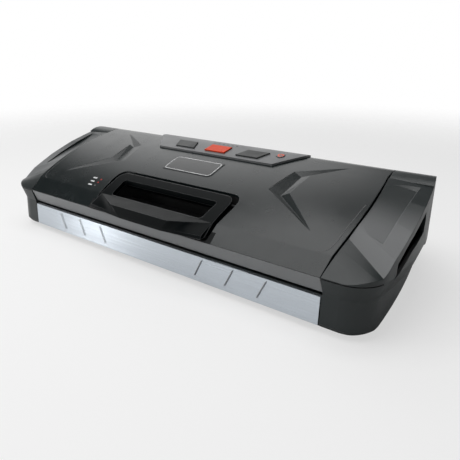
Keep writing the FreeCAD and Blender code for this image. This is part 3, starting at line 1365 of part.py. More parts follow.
def make_rear_cap():
    wall = size("shellWall")
    low = size("legBottom")
    front = split_y + size("coverGap")
    reach = size("coverRadius")
    rear = cover_centre[1] + math.sqrt(reach ** 2 - (seam_x + size("coverTip") - cover_centre[0]) ** 2)
    levels = [(low, 2.5), (low + 3.0, 0.0), (sky, 0.0)]
    body = cap_stack(0.0, levels, front, rear)
    body = body.common(swept_section(rear_profile(0.0, low, front, rear), seam_x, wide_x + 5))
    hollow = cap_stack(wall, [(low - 1, 0.0), (sky, 0.0)], front + wall, rear - wall)
    inner = swept_section(rear_profile(wall, low - 1, front + wall, rear - wall), seam_x + wall, wide_x)
    hollow = hollow.common(inner)
    bores = [rod((seam_x - 1, hinge_y, hinge_z), size("pinRadius"), wall + 2, (1, 0, 0))]
    for k in range(2):
        row = low + size("hingeScrewLow") + k * size("hingeScrewPitch")
        bores.append(rod((seam_x - 1, hinge_y, row), size("screwRadius"), wall + 2, (1, 0, 0)))
    return body.cut([hollow] + bores)


rear_cap = make_rear_cap()
free_part("right_rear_cap", rear_cap)
free_part("left_rear_cap", mirrored(rear_cap))


def make_rear_housing():
    """The upper rear moulding over the machinery, with vent slots in its rear wall."""
    wall = size("shellWall")
    front = hinge_y + size("barrelRadius") + size("barrelClear") - 1.0
    low = deck_z - wall
    bend = polar(size("barrelRadius"), roof_turn)

    def top(y):
        return bend[1] - (y - bend[0]) * roof_fall

    outside = section([(front, top(front)), (rear_y, top(rear_y)), (rear_y, low), (front, low)], -seam_x, seam_x)
    ridge = [edge for edge in outside.Edges if edge.BoundBox.XLength > seam_x
             and abs(edge.BoundBox.YMin - rear_y) < 1e-6 and edge.BoundBox.ZMin > low + 5]
    outside = outside.makeFillet(size("rearCorner"), ridge)
    inside_front = front + wall
    roof = size("roofWall")
    inside = section([(front - 5, top(front) - roof), (inside_front, top(inside_front) - roof),
                      (tub_rear, top(tub_rear) - roof - 2.0), (tub_rear, low - 1), (front - 5, low - 1)],
                     -seam_x - 1, seam_x + 1)
    shell = outside.cut(inside)
    cut = []
    vent_low = low + 12.0
    for middle in (size("fanX") + size("fanSize") / 2, -size("fanX") - size("fanSize") / 2):
        for k in range(int(size("ventCount"))):
            x = middle + (k - (size("ventCount") - 1) / 2) * size("ventPitch") * 0.6
            width = size("ventWidth") * 0.6
            cut.append(block((x - width / 2, tub_rear - 5, vent_low),
                             (x + width / 2, rear_y + 5, vent_low + size("ventHeight"))))
    inlet_low = low + 8.0
    cut.append(block((inlet_x, tub_rear - 1, inlet_low),
                     (inlet_x + size("inletWidth"), rear_y + 1, inlet_low + size("inletHeight"))))
    return shell.cut(cut)


free_part("rear_housing", make_rear_housing())


# Machinery

axis_y = "(%s - $motorSet)" % rear_text
motor_can = cylinder("motor_can", "$motorRadius", "$motorLength", ("$motorX", axis_y, "$motorHeight"), "x")
motor_foot = box("motor_foot", ("$motorLength", "$motorRadius * 1.2", "$motorHeight - %s" % floor_text),
                 ("$motorX", "%s - $motorRadius * 0.6" % axis_y, floor_text))
keep(fused("motor", [motor_can, motor_foot]), "pump_motor")

pump_x = "($motorX + $motorLength)"
hose_level = "(%s - $troughDeep + $hoseRise)" % deck_text
pump_case = box("pump_case", ("$pumpLength", "2 * $pumpHalf", "$motorHeight + $pumpHalf - %s" % floor_text),
                (pump_x, "%s - $pumpHalf" % axis_y, floor_text))
pump_room = box("pump_room", ("$pumpLength - 2 * $shellWall", "2 * ($pumpHalf - $shellWall)",
                              "2 * ($pumpHalf - $shellWall)"),
                ("%s + $shellWall" % pump_x, "%s - $pumpHalf + $shellWall" % axis_y,
                 "$motorHeight - $pumpHalf + $shellWall"))
pump_bore = cylinder("pump_bore", "$motorShaft + $fitClear", "$shellWall + 2",
                     ("%s - 1" % pump_x, axis_y, "$motorHeight"), "x")
pump_port = cylinder("pump_port", "$hoseBore", "$shellWall + 2",
                     ("%s + $pumpLength / 2" % pump_x, "%s - $pumpHalf - 1" % axis_y, hose_level), "y")
keep(less("pump_cut", pump_case, [pump_room, pump_bore, pump_port]), "pump_housing")

crank_shaft = cylinder("crank_shaft", "$motorShaft", "$shellWall + $crankThick",
                       (pump_x, axis_y, "$motorHeight"), "x")
crank_disc = cylinder("crank_disc", "$crankRadius", "$crankThick",
                      ("%s + $shellWall + 2 * $runClear" % pump_x, axis_y, "$motorHeight"), "x")
crank_pin = cylinder("crank_stud", "$crankPin", "$crankThick * 2",
                     ("%s + $shellWall + 2 * $runClear" % pump_x, axis_y, "$motorHeight + $crankThrow"), "x")
keep(fused("crank", [crank_shaft, crank_disc, crank_pin]), "pump_crank")

core_left = "($coreInset - $lidHalf - $seamGap)"
core_near = "%s - $coreSet" % rear_text
core_stack = box("core_stack", ("$coreWidth", "$coreDepth * 0.5", "$coreHeight"),
                 (core_left, "%s + $coreDepth * 0.25" % core_near, floor_text))
core_coil = box("core_coil", ("$coreWidth * 0.6", "$coreDepth", "$coreHeight * 0.62"),
                ("%s + $coreWidth * 0.2" % core_left, core_near, "%s + $coreHeight * 0.19" % floor_text))
core_foot = box("core_foot", ("$coreWidth + 16", "$coreDepth * 0.5", "$shellWall"),
                ("%s - 8" % core_left, "%s + $coreDepth * 0.25" % core_near, floor_text))
keep(fused("core", [core_stack, core_coil, core_foot]), "transformer")

main_place = ("($lidHalf + $seamGap - $mainInset - $mainWidth)", "%s - $mainSet" % rear_text)
main_sheet = box("main_sheet", ("$mainWidth", "$mainDepth", "$boardThick"),
                 main_place + ("%s + $postHeight" % floor_text,))
main_pieces = [main_sheet]
for k, (dx, dy) in enumerate(((0.06, 0.08), (0.94, 0.08), (0.06, 0.92), (0.94, 0.92))):
    main_pieces.append(cylinder("main_post_%d" % k, "$screwHead", "$postHeight",
                                ("%s + $mainWidth * %s" % (main_place[0], dx),
                                 "%s + $mainDepth * %s" % (main_place[1], dy), floor_text)))
for k, (dx, dy, tall) in enumerate(((0.3, 0.3, 0.8), (0.55, 0.3, 0.55), (0.75, 0.65, 1.0), (0.35, 0.7, 0.45))):
    main_pieces.append(box("main_chip_%d" % k, ("$mainWidth * 0.15", "$mainDepth * 0.2", "$chipHeight * %s" % tall),
                           ("%s + $mainWidth * %s" % (main_place[0], dx), "%s + $mainDepth * %s" % (main_place[1], dy),
                            "%s + $postHeight + $boardThick" % floor_text)))
keep(fused("main", main_pieces), "main_board")

fan_place = ("$fanX", "%s - $fanThick" % tub_rear_text, floor_text)
fan_middle = ("$fanX + $fanSize / 2", "%s - $fanThick" % tub_rear_text, "%s + $fanSize / 2" % floor_text)
fan_case = box("fan_case", ("$fanSize", "$fanThick - $shellWall", "$fanSize"),
               (fan_place[0], "%s - $shellWall" % fan_place[1], fan_place[2]))
fan_hole = cylinder("fan_hole", "$fanSize / 2 - 2", "$fanThick + 2",
                    (fan_middle[0], "%s - $shellWall - 1" % fan_middle[1], fan_middle[2]), "y")
fan_ring = less("fan_ring", fan_case, [fan_hole])
fan_strut = box("fan_strut", ("$fanSize - 2", "$shellWall / 2", "$shellWall"),
                ("$fanX + 1", "%s - $shellWall" % fan_middle[1], "%s - $shellWall / 2" % fan_middle[2]))
fan_stub = cylinder("fan_stub", "$motorShaft", "$fanThick - 2 * $shellWall",
                    (fan_middle[0], "%s - $shellWall" % fan_middle[1], fan_middle[2]), "y")
keep(fused("fan_body", [fan_ring, fan_strut, fan_stub]), "fan_frame")


def make_impeller():
    """Hub and pitched blades, bored for the stub in the fan's frame."""
    x = size("fanX") + size("fanSize") / 2
    y = tub_rear - size("fanThick") - size("shellWall") / 2 + size("runClear")
    z = size("footHeight") + size("shellWall") + size("fanSize") / 2
    deep = size("fanThick") - 2.2 * size("shellWall")
    reach = size("fanSize") / 2 - 2 - size("fanTip")
    hub = rod((x, y, z), size("hubRadius"), deep, (0, 1, 0))
    blade = block((-0.6, -deep * 0.45, size("hubRadius") - 2), (0.6, deep * 0.45, reach))
    blade.Placement = Placement(Vector(), Rotation(Vector(0, 0, 1), 35))
    blade.translate(Vector(0, deep / 2, 0))
    drum = rod((0, 0, 0), reach, deep, (0, 1, 0))
    blade = blade.common(drum)
    count = int(size("bladeCount"))
    blades = []
    for k in range(count):
        turned = blade.copy()
        turned.rotate(Vector(0, 0, 0), Vector(0, 1, 0), 360.0 * k / count)
        turned.translate(Vector(x, y, z))
        blades.append(turned)
    wheel = hub.multiFuse(blades)
    return wheel.cut(rod((x, y - 1, z), size("motorShaft") + size("fitClear"), deep * 0.8 + 1, (0, 1, 0)))


free_part("fan_impeller", make_impeller())

inlet_left = "($inletInset - $lidHalf - $seamGap)"
inlet_near = "%s - $inletDepth" % rear_text
inlet_low = "(%s - $shellWall + 8)" % deck_text
inlet_case = box("inlet_case", ("$inletWidth", "$inletDepth", "$inletHeight"), (inlet_left, inlet_near, inlet_low))
room_edges = ("$inletWidth - 2 * $shellWall", "$inletDepth - $shellWall", "$inletHeight - 2 * $shellWall")
inlet_room = box("inlet_room", room_edges,
                 ("%s + $shellWall" % inlet_left, "%s + $shellWall" % inlet_near, "%s + $shellWall" % inlet_low))
inlet_shell = less("inlet_shell", inlet_case, [inlet_room])
inlet_blades = [box("inlet_blade_%d" % k, ("1.5", "$inletDepth * 0.7", "$inletHeight * 0.3"),
                    ("%s + $inletWidth * %s" % (inlet_left, share), "%s + $shellWall / 2" % inlet_near,
                     "%s + $inletHeight * 0.35" % inlet_low)) for k, share in enumerate((0.3, 0.65))]
keep(fused("inlet", [inlet_shell] + inlet_blades), "power_inlet")

keep(box("lid_switch_case", ("$switchSize", "$switchSize / 2", "$deckGap + $linerDrop - $sealFace"),
         ("($lidHalf - $switchInset - $switchSize)", "%s - $deckRiser - 2 * $switchSize" % hinge_text,
          deck_text)), "lid_switch")

foot_x = "(%s - $footInsetX)" % seam_text
foot_rows = ("%s + $footInsetY" % tub_front_text, "%s - $footInsetY" % tub_rear_text)
feet = [cylinder("foot_%d" % k, "$footRadius", "$footHeight", (sign + foot_x, row, "0"))
        for k, (sign, row) in enumerate((sign, row) for sign in ("-", "") for row in foot_rows)]
keep(grouped("feet", feet), "rubber_feet")


def make_hose():
    """The vacuum hose from the trough's rear wall to the pump's port."""
    x = size("motorX") + size("motorLength") + size("pumpLength") / 2
    start_y = lip_y + size("troughFront") + size("troughWidth") + 2.0
    end_y = rear_y - size("motorSet") - size("pumpHalf")
    z = deck_z - size("troughDeep") + size("hoseRise")
    tube = rod((x, start_y, z), size("hoseRadius"), end_y - start_y, (0, 1, 0))
    bore = rod((x, start_y - 1, z), size("hoseBore"), end_y - start_y + 2, (0, 1, 0))
    return tube.cut(bore)


free_part("vacuum_hose", make_hose())


# Output

doc.recompute()
for item in doc.Objects:
    if "Invalid" in item.State or "Error" in item.State:
        raise RuntimeError("%s failed: %s" % (item.Name, item.State))
for item in nodes:
    if item.Shape.isNull() or not item.Shape.isValid():
        raise RuntimeError("%s has no valid shape" % item.Label)
    if not item.Shape.Solids:
        raise RuntimeError("%s has no solid" % item.Label)

os.makedirs("parts", exist_ok=True)
for item in nodes:
    item.Shape.exportStep(os.path.join("parts", item.Label + ".step"))
    bounds = item.Shape.BoundBox
    print("%-22s solids %2d volume %10.1f  x %7.1f %7.1f  y %7.1f %7.1f  z %6.1f %6.1f" % (
        item.Label, len(item.Shape.Solids), item.Shape.Volume, bounds.XMin, bounds.XMax, bounds.YMin, bounds.YMax,
        bounds.ZMin, bounds.ZMax))
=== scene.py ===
import math

import bpy
import numpy as np
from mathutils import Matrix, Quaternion, Vector


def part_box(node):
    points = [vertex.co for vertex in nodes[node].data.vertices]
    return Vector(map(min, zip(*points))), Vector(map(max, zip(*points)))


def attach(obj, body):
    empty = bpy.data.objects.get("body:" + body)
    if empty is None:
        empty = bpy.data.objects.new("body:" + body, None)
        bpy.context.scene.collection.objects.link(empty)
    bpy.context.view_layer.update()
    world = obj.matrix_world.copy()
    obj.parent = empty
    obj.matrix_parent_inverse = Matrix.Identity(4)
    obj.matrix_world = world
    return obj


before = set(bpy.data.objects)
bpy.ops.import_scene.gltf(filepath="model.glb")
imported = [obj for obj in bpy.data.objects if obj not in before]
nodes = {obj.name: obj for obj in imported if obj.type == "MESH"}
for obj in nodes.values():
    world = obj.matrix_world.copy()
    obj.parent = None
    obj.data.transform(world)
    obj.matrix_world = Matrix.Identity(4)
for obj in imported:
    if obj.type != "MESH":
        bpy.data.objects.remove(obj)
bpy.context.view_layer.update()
print("frame loaded,", len(nodes), "nodes")


# Stage: a pale floor that fades into white, a wide overhead box, a small one over the right end, a narrow one at
# the front left for the metal strip, and a surround that is dim apart from a bright round glow at the back left.
studio = {
    "floorSize": 8.0, "floorColour": (0.90, 0.90, 0.90), "floorRoughness": 0.9, "floorSpecular": 0.1,
    "floorWhite": 0.6,            # how far the camera sees the paper as plain white
    "fade": (0.55, 1.6),          # the paper thins out between these distances
    "dimLight": 0.07, "glowLight": 1.60, "glowWay": (-0.635, 0.578, 0.512), "glowEdge": (0.885, 0.999),
    "horizon": (0.20, 0.42),
}

softBoxes = {
    "roofBox": {"place": (-0.368, -0.424, 1.20), "aim": (-0.368, -0.424, 0.0), "size": (1.28, 1.32), "power": 12.4,
                "turn": 45.0},
    "endBox": {"place": (0.125, 0.29, 1.19), "aim": (0.125, 0.29, 0.0), "size": (0.36, 0.36), "power": 1.5,
               "turn": 0.0},
    "stripBox": {"place": (-1.274, -1.109, 0.40), "aim": (-0.09, -0.11, 0.02), "size": (0.18, 0.8), "power": 3.3,
                 "turn": 0.0},
}

view = {
    "place": (0.3590, -0.4283, 0.2237), "target": (-0.0005, 0.0361, -0.0002),
    "focalPixels": 485.953, "framePixels": 460.0, "sensor": 36.0, "nearest": 0.01,
}


def feed(tree, socket, value):
    # an output is linked, a constant is set
    if isinstance(value, bpy.types.NodeSocket):
        tree.links.new(value, socket)
    else:
        socket.default_value = value


def addNode(tree, kind, settings=None, **sockets):
    # one node with its own settings; a socket's value is a constant or the output that feeds it
    node = tree.nodes.new(kind)
    for key, value in (settings or {}).items():
        setattr(node, key, value)
    for key, value in sockets.items():
        feed(tree, node.inputs[key.replace("_", " ")], value)
    return node


def calc(tree, operation, first, second=None):
    # one Math node
    node = addNode(tree, "ShaderNodeMath", {"operation": operation})
    feed(tree, node.inputs[0], first)
    if second is not None:
        feed(tree, node.inputs[1], second)
    return node.outputs["Value"]


def product(tree, first, *others):
    for other in others:
        first = calc(tree, "MULTIPLY", first, other)
    return first


def smoothStep(tree, source, low, high, fromValue=0.0, toValue=1.0):
    return addNode(tree, "ShaderNodeMapRange", {"interpolation_type": "SMOOTHSTEP"}, Value=source, From_Min=low,
                   From_Max=high, To_Min=fromValue, To_Max=toValue).outputs["Result"]


def dotOf(tree, first, second):
    node = addNode(tree, "ShaderNodeVectorMath", {"operation": "DOT_PRODUCT"})
    feed(tree, node.inputs[0], first)
    feed(tree, node.inputs[1], second)
    return node.outputs["Value"]


def mixShaders(tree, factor, first, second):
    mix = addNode(tree, "ShaderNodeMixShader", Fac=factor)
    tree.links.new(first, mix.inputs[1])
    tree.links.new(second, mix.inputs[2])
    return mix.outputs["Shader"]


def startFinish(name, colour, roughness, metallic=0.0, specular=0.5):
    finish = bpy.data.materials.new(name)
    finish.use_nodes = True
    tree = finish.node_tree
    shader = tree.nodes["Principled BSDF"]
    shader.inputs["Base Color"].default_value = (*colour, 1)
    shader.inputs["Roughness"].default_value = roughness
    shader.inputs["Metallic"].default_value = metallic
    shader.inputs["Specular IOR Level"].default_value = specular
    return finish, tree, shader


def putObject(name, data):
    thing = bpy.data.objects.new(name, data)
    bpy.context.scene.collection.objects.link(thing)
    return thing


def facing(place, aim):
    return (Vector(aim) - Vector(place)).to_track_quat("-Z", "Y")


def makeSoftBox(name, box):
    lamp = bpy.data.lights.new(name, "AREA")
    lamp.shape = "RECTANGLE"
    lamp.size, lamp.size_y = box["size"]
    lamp.energy = box["power"]
    holder = putObject(name, lamp)
    holder.location = box["place"]
    turn = Quaternion((0, 0, 1), math.radians(box["turn"]))
    holder.rotation_euler = (facing(box["place"], box["aim"]) @ turn).to_euler()


def makeFloor():
    half = studio["floorSize"] / 2
    mesh = bpy.data.meshes.new("floor")
    mesh.from_pydata([(-half, -half, 0), (half, -half, 0), (half, half, 0), (-half, half, 0)], [], [(0, 1, 2, 3)])
    floor = putObject("floor", mesh)
    paper, tree, shader = startFinish("paleFloor", studio["floorColour"], studio["floorRoughness"],
                                      specular=studio["floorSpecular"])
    # for the camera the paper is part white, and far out it thins, so that the white surround takes over with no edge
    path = tree.nodes.new("ShaderNodeLightPath")
    white = addNode(tree, "ShaderNodeEmission", Color=(1, 1, 1, 1), Strength=1.0)
    share = calc(tree, "MULTIPLY", path.outputs["Is Camera Ray"], studio["floorWhite"])
    lighter = mixShaders(tree, share, shader.outputs["BSDF"], white.outputs["Emission"])
    place = tree.nodes.new("ShaderNodeTexCoord")
    reach = addNode(tree, "ShaderNodeVectorMath", {"operation": "LENGTH"})
    tree.links.new(place.outputs["Object"], reach.inputs[0])
    clear = tree.nodes.new("ShaderNodeBsdfTransparent")
    thinner = mixShaders(tree, smoothStep(tree, reach.outputs["Value"], *studio["fade"]), lighter,
                         clear.outputs["BSDF"])
    tree.links.new(thinner, tree.nodes["Material Output"].inputs["Surface"])
    mesh.materials.append(paper)


def makeSurround():
    # white where the camera looks past the object, and where gloss, metal and glass look out low, past the paper;
    # for every other ray, dim with a round glow about one direction
    world = bpy.data.worlds.new("surround")
    bpy.context.scene.world = world
    world.use_nodes = True
    tree = world.node_tree
    tree.nodes.clear()
    way = tree.nodes.new("ShaderNodeTexCoord").outputs["Generated"]
    wall = smoothStep(tree, dotOf(tree, way, studio["glowWay"]), *studio["glowEdge"], studio["dimLight"],
                      studio["glowLight"])
    height = addNode(tree, "ShaderNodeSeparateXYZ", Vector=way).outputs["Z"]
    path = tree.nodes.new("ShaderNodeLightPath")
    mirror = calc(tree, "MAXIMUM", path.outputs["Is Glossy Ray"], path.outputs["Is Transmission Ray"])
    low = smoothStep(tree, height, *studio["horizon"], 1.0, 0.0)
    seen = calc(tree, "MAXIMUM", path.outputs["Is Camera Ray"], calc(tree, "MULTIPLY", mirror, low))
    level = addNode(tree, "ShaderNodeMix", Factor=seen, A=wall, B=1.0)
    light = addNode(tree, "ShaderNodeBackground", Color=(1, 1, 1, 1), Strength=level.outputs["Result"])
    addNode(tree, "ShaderNodeOutputWorld", Surface=light.outputs["Background"])


def makeCamera():
    lens = bpy.data.cameras.new("camera")
    lens.sensor_width = view["sensor"]
    lens.lens = view["sensor"] * view["focalPixels"] / view["framePixels"]
    lens.clip_start = view["nearest"]
    holder = putObject("camera", lens)
    holder.location = view["place"]
    holder.rotation_euler = facing(view["place"], view["target"]).to_euler()
    bpy.context.scene.camera = holder


makeFloor()
makeSurround()
for boxName, box in softBoxes.items():
    makeSoftBox(boxName, box)
makeCamera()
bpy.context.scene.view_settings.view_transform = "Standard"
print("stage and camera set")


# Finishes. Every one reads Object coordinates, so grain and brushing keep their real scale in metres.
noiseSpan = (0.3, 0.7)      # where most of a noise's values lie
bevelSamples = 6


def objectPlace(tree):
    return tree.nodes.new("ShaderNodeTexCoord").outputs["Object"]


def objectAxes(tree):
    parts = addNode(tree, "ShaderNodeSeparateXYZ", Vector=objectPlace(tree))
    return parts.outputs["X"], parts.outputs["Y"], parts.outputs["Z"]


def noiseOn(tree, scale, detail=2.0, stretch=(1, 1, 1)):
    mapping = addNode(tree, "ShaderNodeMapping", Vector=objectPlace(tree), Scale=stretch)
    return addNode(tree, "ShaderNodeTexNoise", Vector=mapping.outputs["Vector"], Scale=scale,
                   Detail=detail).outputs["Fac"]


def spread(tree, source, low, high):
    # carries a noise value from noiseSpan to the range low to high
    return addNode(tree, "ShaderNodeMapRange", Value=source, From_Min=noiseSpan[0], From_Max=noiseSpan[1],
                   To_Min=low, To_Max=high).outputs["Result"]


def over(tree, factor, under, top):
    # lays a colour, a tuple or a socket, over another by a factor
    under, top = [(*value, 1) if isinstance(value, tuple) else value for value in (under, top)]
    return addNode(tree, "ShaderNodeMix", {"data_type": "RGBA"}, Factor=factor, A=under, B=top).outputs["Result"]


def shade(colour, factor):
    return tuple(part * factor for part in colour)


def toneBy(tree, source, colour, tones):
    # the colour, darker or lighter by two factors, as the source goes from 0 to 1
    return over(tree, source, shade(colour, tones[0]), shade(colour, tones[1]))


def relief(tree, shader, source, depth, edge=0.0):
    # fine relief from a height, laid over edges that are softened by a small radius
    bump = addNode(tree, "ShaderNodeBump", Height=source, Distance=depth, Strength=1.0)
    if edge > 0:
        soft = addNode(tree, "ShaderNodeBevel", {"samples": bevelSamples}, Radius=edge)
        tree.links.new(soft.outputs["Normal"], bump.inputs["Normal"])
    tree.links.new(bump.outputs["Normal"], shader.inputs["Normal"])


def edgeHighlightMask(tree, radius, low=0.03, high=0.16):
    # mask of the painted edge highlight: 1 where the face's own normal departs from the normal of an edge rounded by
    # the radius, 0 on flats
    soft = addNode(tree, "ShaderNodeBevel", {"samples": bevelSamples}, Radius=radius)
    face = tree.nodes.new("ShaderNodeNewGeometry")
    same = dotOf(tree, soft.outputs["Normal"], face.outputs["Normal"])
    return smoothStep(tree, calc(tree, "SUBTRACT", 1.0, same), low, high)


# The lid's outer surface in section, in metres: one arc for the crown, one for the rolled rear edge.
lidShape = {
    "crownY": 0.114779, "crownZ": -0.334037, "crownRadius": 0.452138, "crownEnd": 0.026019,
    "rollY": 0.032, "rollZ": 0.084, "rollRadius": 0.026,
}

# Where the lid's skin carries painted light: painted shade in the pocket behind the handle, and a painted highlight
# along the front lip.
lidZones = {"pocketHalf": 0.0905, "pocketRear": -0.0553, "pocketDeep": 0.0022, "lipTop": 0.0511, "lipRear": -0.090}


def pocketShadeZone(tree):
    # painted shade in the pocket: inside the pocket's width and length, above the lip, and deeper than pocketDeep
    # under the crown's arc
    x, y, height = objectAxes(tree)
    dy = calc(tree, "SUBTRACT", y, lidShape["crownY"])
    dz = calc(tree, "SUBTRACT", height, lidShape["crownZ"])
    arm = calc(tree, "SQRT", calc(tree, "ADD", calc(tree, "MULTIPLY", dy, dy), calc(tree, "MULTIPLY", dz, dz)))
    deep = calc(tree, "LESS_THAN", arm, lidShape["crownRadius"] - lidZones["pocketDeep"])
    wide = calc(tree, "LESS_THAN", calc(tree, "ABSOLUTE", x), lidZones["pocketHalf"])
    front = calc(tree, "LESS_THAN", y, lidZones["pocketRear"])
    above = calc(tree, "GREATER_THAN", height, lidZones["lipTop"])
    return product(tree, deep, wide, front, above)


def lipHighlightZone(tree):
    # painted highlight on the lip, standing for the bright floor it mirrors: below the lip's upper edge, at the front
    x, y, height = objectAxes(tree)
    below = calc(tree, "LESS_THAN", height, lidZones["lipTop"])
    return product(tree, below, calc(tree, "LESS_THAN", y, lidZones["lipRear"]))


# Painted highlight on the end caps' upper faces, laid as a paler, rougher skin: sharp along the crease of the front
# facet, fading out to the rear.
capHighlight = {
    "seamX": 0.2085, "edgeX": 0.2512, "creaseSeamY": -0.0745, "creaseEdgeY": -0.0945, "fade": (-0.058, -0.010),
    "seamSlack": 0.004, "facing": 0.55,
}


def lineAcross(tree, x, startX, startY, endX, endY):
    # y of the straight line through two plan points, at x
    slope = (endY - startY) / (endX - startX)
    return calc(tree, "ADD", calc(tree, "MULTIPLY", x, slope), startY - slope * startX)


def capHighlightZone(tree):
    # painted highlight: behind the crease's line in plan, outside the seam, on faces that look up, fading along y
    b = capHighlight
    x, y, height = objectAxes(tree)
    out = calc(tree, "ABSOLUTE", x)
    crease = lineAcross(tree, out, b["seamX"], b["creaseSeamY"], b["edgeX"], b["creaseEdgeY"])
    behind = calc(tree, "GREATER_THAN", y, crease)
    cap = calc(tree, "GREATER_THAN", out, b["seamX"] - b["seamSlack"])
    ahead = smoothStep(tree, y, *b["fade"], 1.0, 0.0)
    face = tree.nodes.new("ShaderNodeNewGeometry")
    parts = addNode(tree, "ShaderNodeSeparateXYZ", Vector=face.outputs["True Normal"])
    upward = calc(tree, "GREATER_THAN", parts.outputs["Z"], b["facing"])
    return product(tree, behind, cap, ahead, upward)


# A painted-light zone is a mask maker with the colour and the roughness that hold inside it; each paints shade or a
# highlight.
# Each edge colour, given after the edge radius, is a painted highlight along the edges.
plastics = {
    "lid_plastic": {"colour": (0.0045, 0.0090, 0.0097), "roughness": 0.25, "grain": 1500, "depth": 0.000004,
                    "edge": 0.0008, "edgeHighlight": (0.10, 0.105, 0.108),
                    # the pocket's painted shade and the lip's painted highlight
                    "paintedLightZones": ((pocketShadeZone, (0.0010, 0.0018, 0.0022), 0.9), (lipHighlightZone, (0.225, 0.231, 0.235), 0.30))},
    "handle_plastic": {"colour": (0.0016, 0.0030, 0.0034), "roughness": 0.34, "grain": 1500, "depth": 0.000006,
                       "edge": 0.0011, "edgeHighlight": (0.14, 0.146, 0.148), "ior": 1.15},
    "black_plastic": {"colour": (0.0085, 0.0140, 0.0147), "roughness": 0.36, "grain": 1200, "depth": 0.00002,
                      "edge": 0.0008, "edgeHighlight": (0.04, 0.046, 0.047),
                      # the end caps' upward faces carry a painted highlight
                      "paintedLightZones": ((capHighlightZone, (0.155, 0.161, 0.164), 0.42),)},
    "panel_plastic": {"colour": (0.115, 0.119, 0.124), "roughness": 0.36, "grain": 1600, "depth": 0.00001,
                      "edge": 0.0005},
    "key_grey": {"colour": (0.030, 0.0325, 0.0325), "roughness": 0.5, "grain": 1600, "depth": 0.00002,
                 "edge": 0.0004},
    "key_red": {"colour": (0.80, 0.068, 0.017), "roughness": 0.5, "grain": 1600, "depth": 0.00002, "edge": 0.0004,
                "specular": 0.22},
    "badge": {"colour": (0.012, 0.014, 0.0145), "roughness": 0.22, "grain": 1200, "depth": 0.000004,
              "edge": 0.0002},
    "tray_plastic": {"colour": (0.09, 0.095, 0.1), "roughness": 0.3, "grain": 900, "depth": 0.00002,
                     "edge": 0.0004},
    "board": {"colour": (0.012, 0.09, 0.035), "roughness": 0.3, "grain": 700, "depth": 0.00004, "edge": 0.0001},
}

plasticSkin = {
    "grainDetail": 3.0, "driftScale": 14.0, "driftDetail": 3.0, "tones": (0.9, 1.1),
    "glossScale": 60.0, "glossDetail": 4.0, "gloss": (0.9, 1.12),
}


def mouldedPlastic(name, colour, roughness, grain, depth, edge, specular=0.5, edgeHighlight=None, ior=1.5, paintedLightZones=()):
    # moulded skin: a fine spark-eroded grain, slow drifts of tone and gloss, softened edges lightened by a painted
    # highlight, and zones of painted shade and highlight
    s = plasticSkin
    finish, tree, shader = startFinish(name, colour, roughness, 0.0, specular)
    shader.inputs["IOR"].default_value = ior
    skin = noiseOn(tree, grain, s["grainDetail"])
    drift = noiseOn(tree, s["driftScale"], s["driftDetail"])
    tone = toneBy(tree, spread(tree, drift, 0.0, 1.0), colour, s["tones"])
    gloss = spread(tree, noiseOn(tree, s["glossScale"], s["glossDetail"]), roughness * s["gloss"][0],
                   roughness * s["gloss"][1])
    # painted highlight along the edges
    if edgeHighlight:
        tone = over(tree, edgeHighlightMask(tree, edge), tone, edgeHighlight)
    # painted shade and highlights, zone by zone
    for mask, zoneColour, zoneRoughness in paintedLightZones:
        inside = mask(tree)
        tone = over(tree, inside, tone, zoneColour)
        gloss = addNode(tree, "ShaderNodeMix", Factor=inside, A=gloss, B=zoneRoughness).outputs["Result"]
    tree.links.new(tone, shader.inputs["Base Color"])
    tree.links.new(gloss, shader.inputs["Roughness"])
    relief(tree, shader, skin, depth, edge)
    return finish


metals = {
    "strip_metal": {"colour": (0.64, 0.69, 0.745), "roughness": 0.25, "stretch": (6, 40, 2600), "depth": 0.000001,
                    "edge": 0.0003, "anisotropic": 1.0},
    "dark_steel": {"colour": (0.035, 0.037, 0.038), "roughness": 0.45, "stretch": (40, 1500, 1500),
                   "depth": 0.00001, "edge": 0.0003},
    "steel": {"colour": (0.50, 0.50, 0.49), "roughness": 0.32, "stretch": (40, 1500, 1500), "depth": 0.00001,
              "edge": 0.0003},
    "brass": {"colour": (0.62, 0.43, 0.18), "roughness": 0.3, "stretch": (1200, 60, 1200), "depth": 0.00001,
              "edge": 0.0002},
    "seal_metal": {"colour": (0.58, 0.57, 0.55), "roughness": 0.28, "stretch": (20, 1800, 1800), "depth": 0.00001,
                   "edge": 0.0001},
}

metalHairs = {"detail": 4.0, "tones": (0.93, 1.05), "gloss": (0.85, 1.15)}


def brushedMetal(name, colour, roughness, stretch, depth, edge, anisotropic=0.0):
    # drawn metal: noise stretched along the brushing direction drives gloss, tone and a hair of relief
    h = metalHairs
    finish, tree, shader = startFinish(name, colour, roughness, 1.0)
    hairs = noiseOn(tree, 1.0, h["detail"], stretch)
    tree.links.new(toneBy(tree, spread(tree, hairs, 0.0, 1.0), colour, h["tones"]), shader.inputs["Base Color"])
    tree.links.new(spread(tree, hairs, roughness * h["gloss"][0], roughness * h["gloss"][1]),
                   shader.inputs["Roughness"])
    if anisotropic > 0:
        shader.inputs["Anisotropic"].default_value = anisotropic
        upright = addNode(tree, "ShaderNodeCombineXYZ", Z=1.0)
        tree.links.new(upright.outputs["Vector"], shader.inputs["Tangent"])
    relief(tree, shader, hairs, depth, edge)
    return finish


foams = {
    "rubber": {"colour": (0.02, 0.02, 0.02), "roughness": 0.75, "cells": 1500, "depth": 0.00005},
    "gasket_foam": {"colour": (0.03, 0.03, 0.032), "roughness": 0.85, "cells": 900, "depth": 0.0002},
}

foamSkin = {"specular": 0.3, "tones": (0.75, 1.2)}


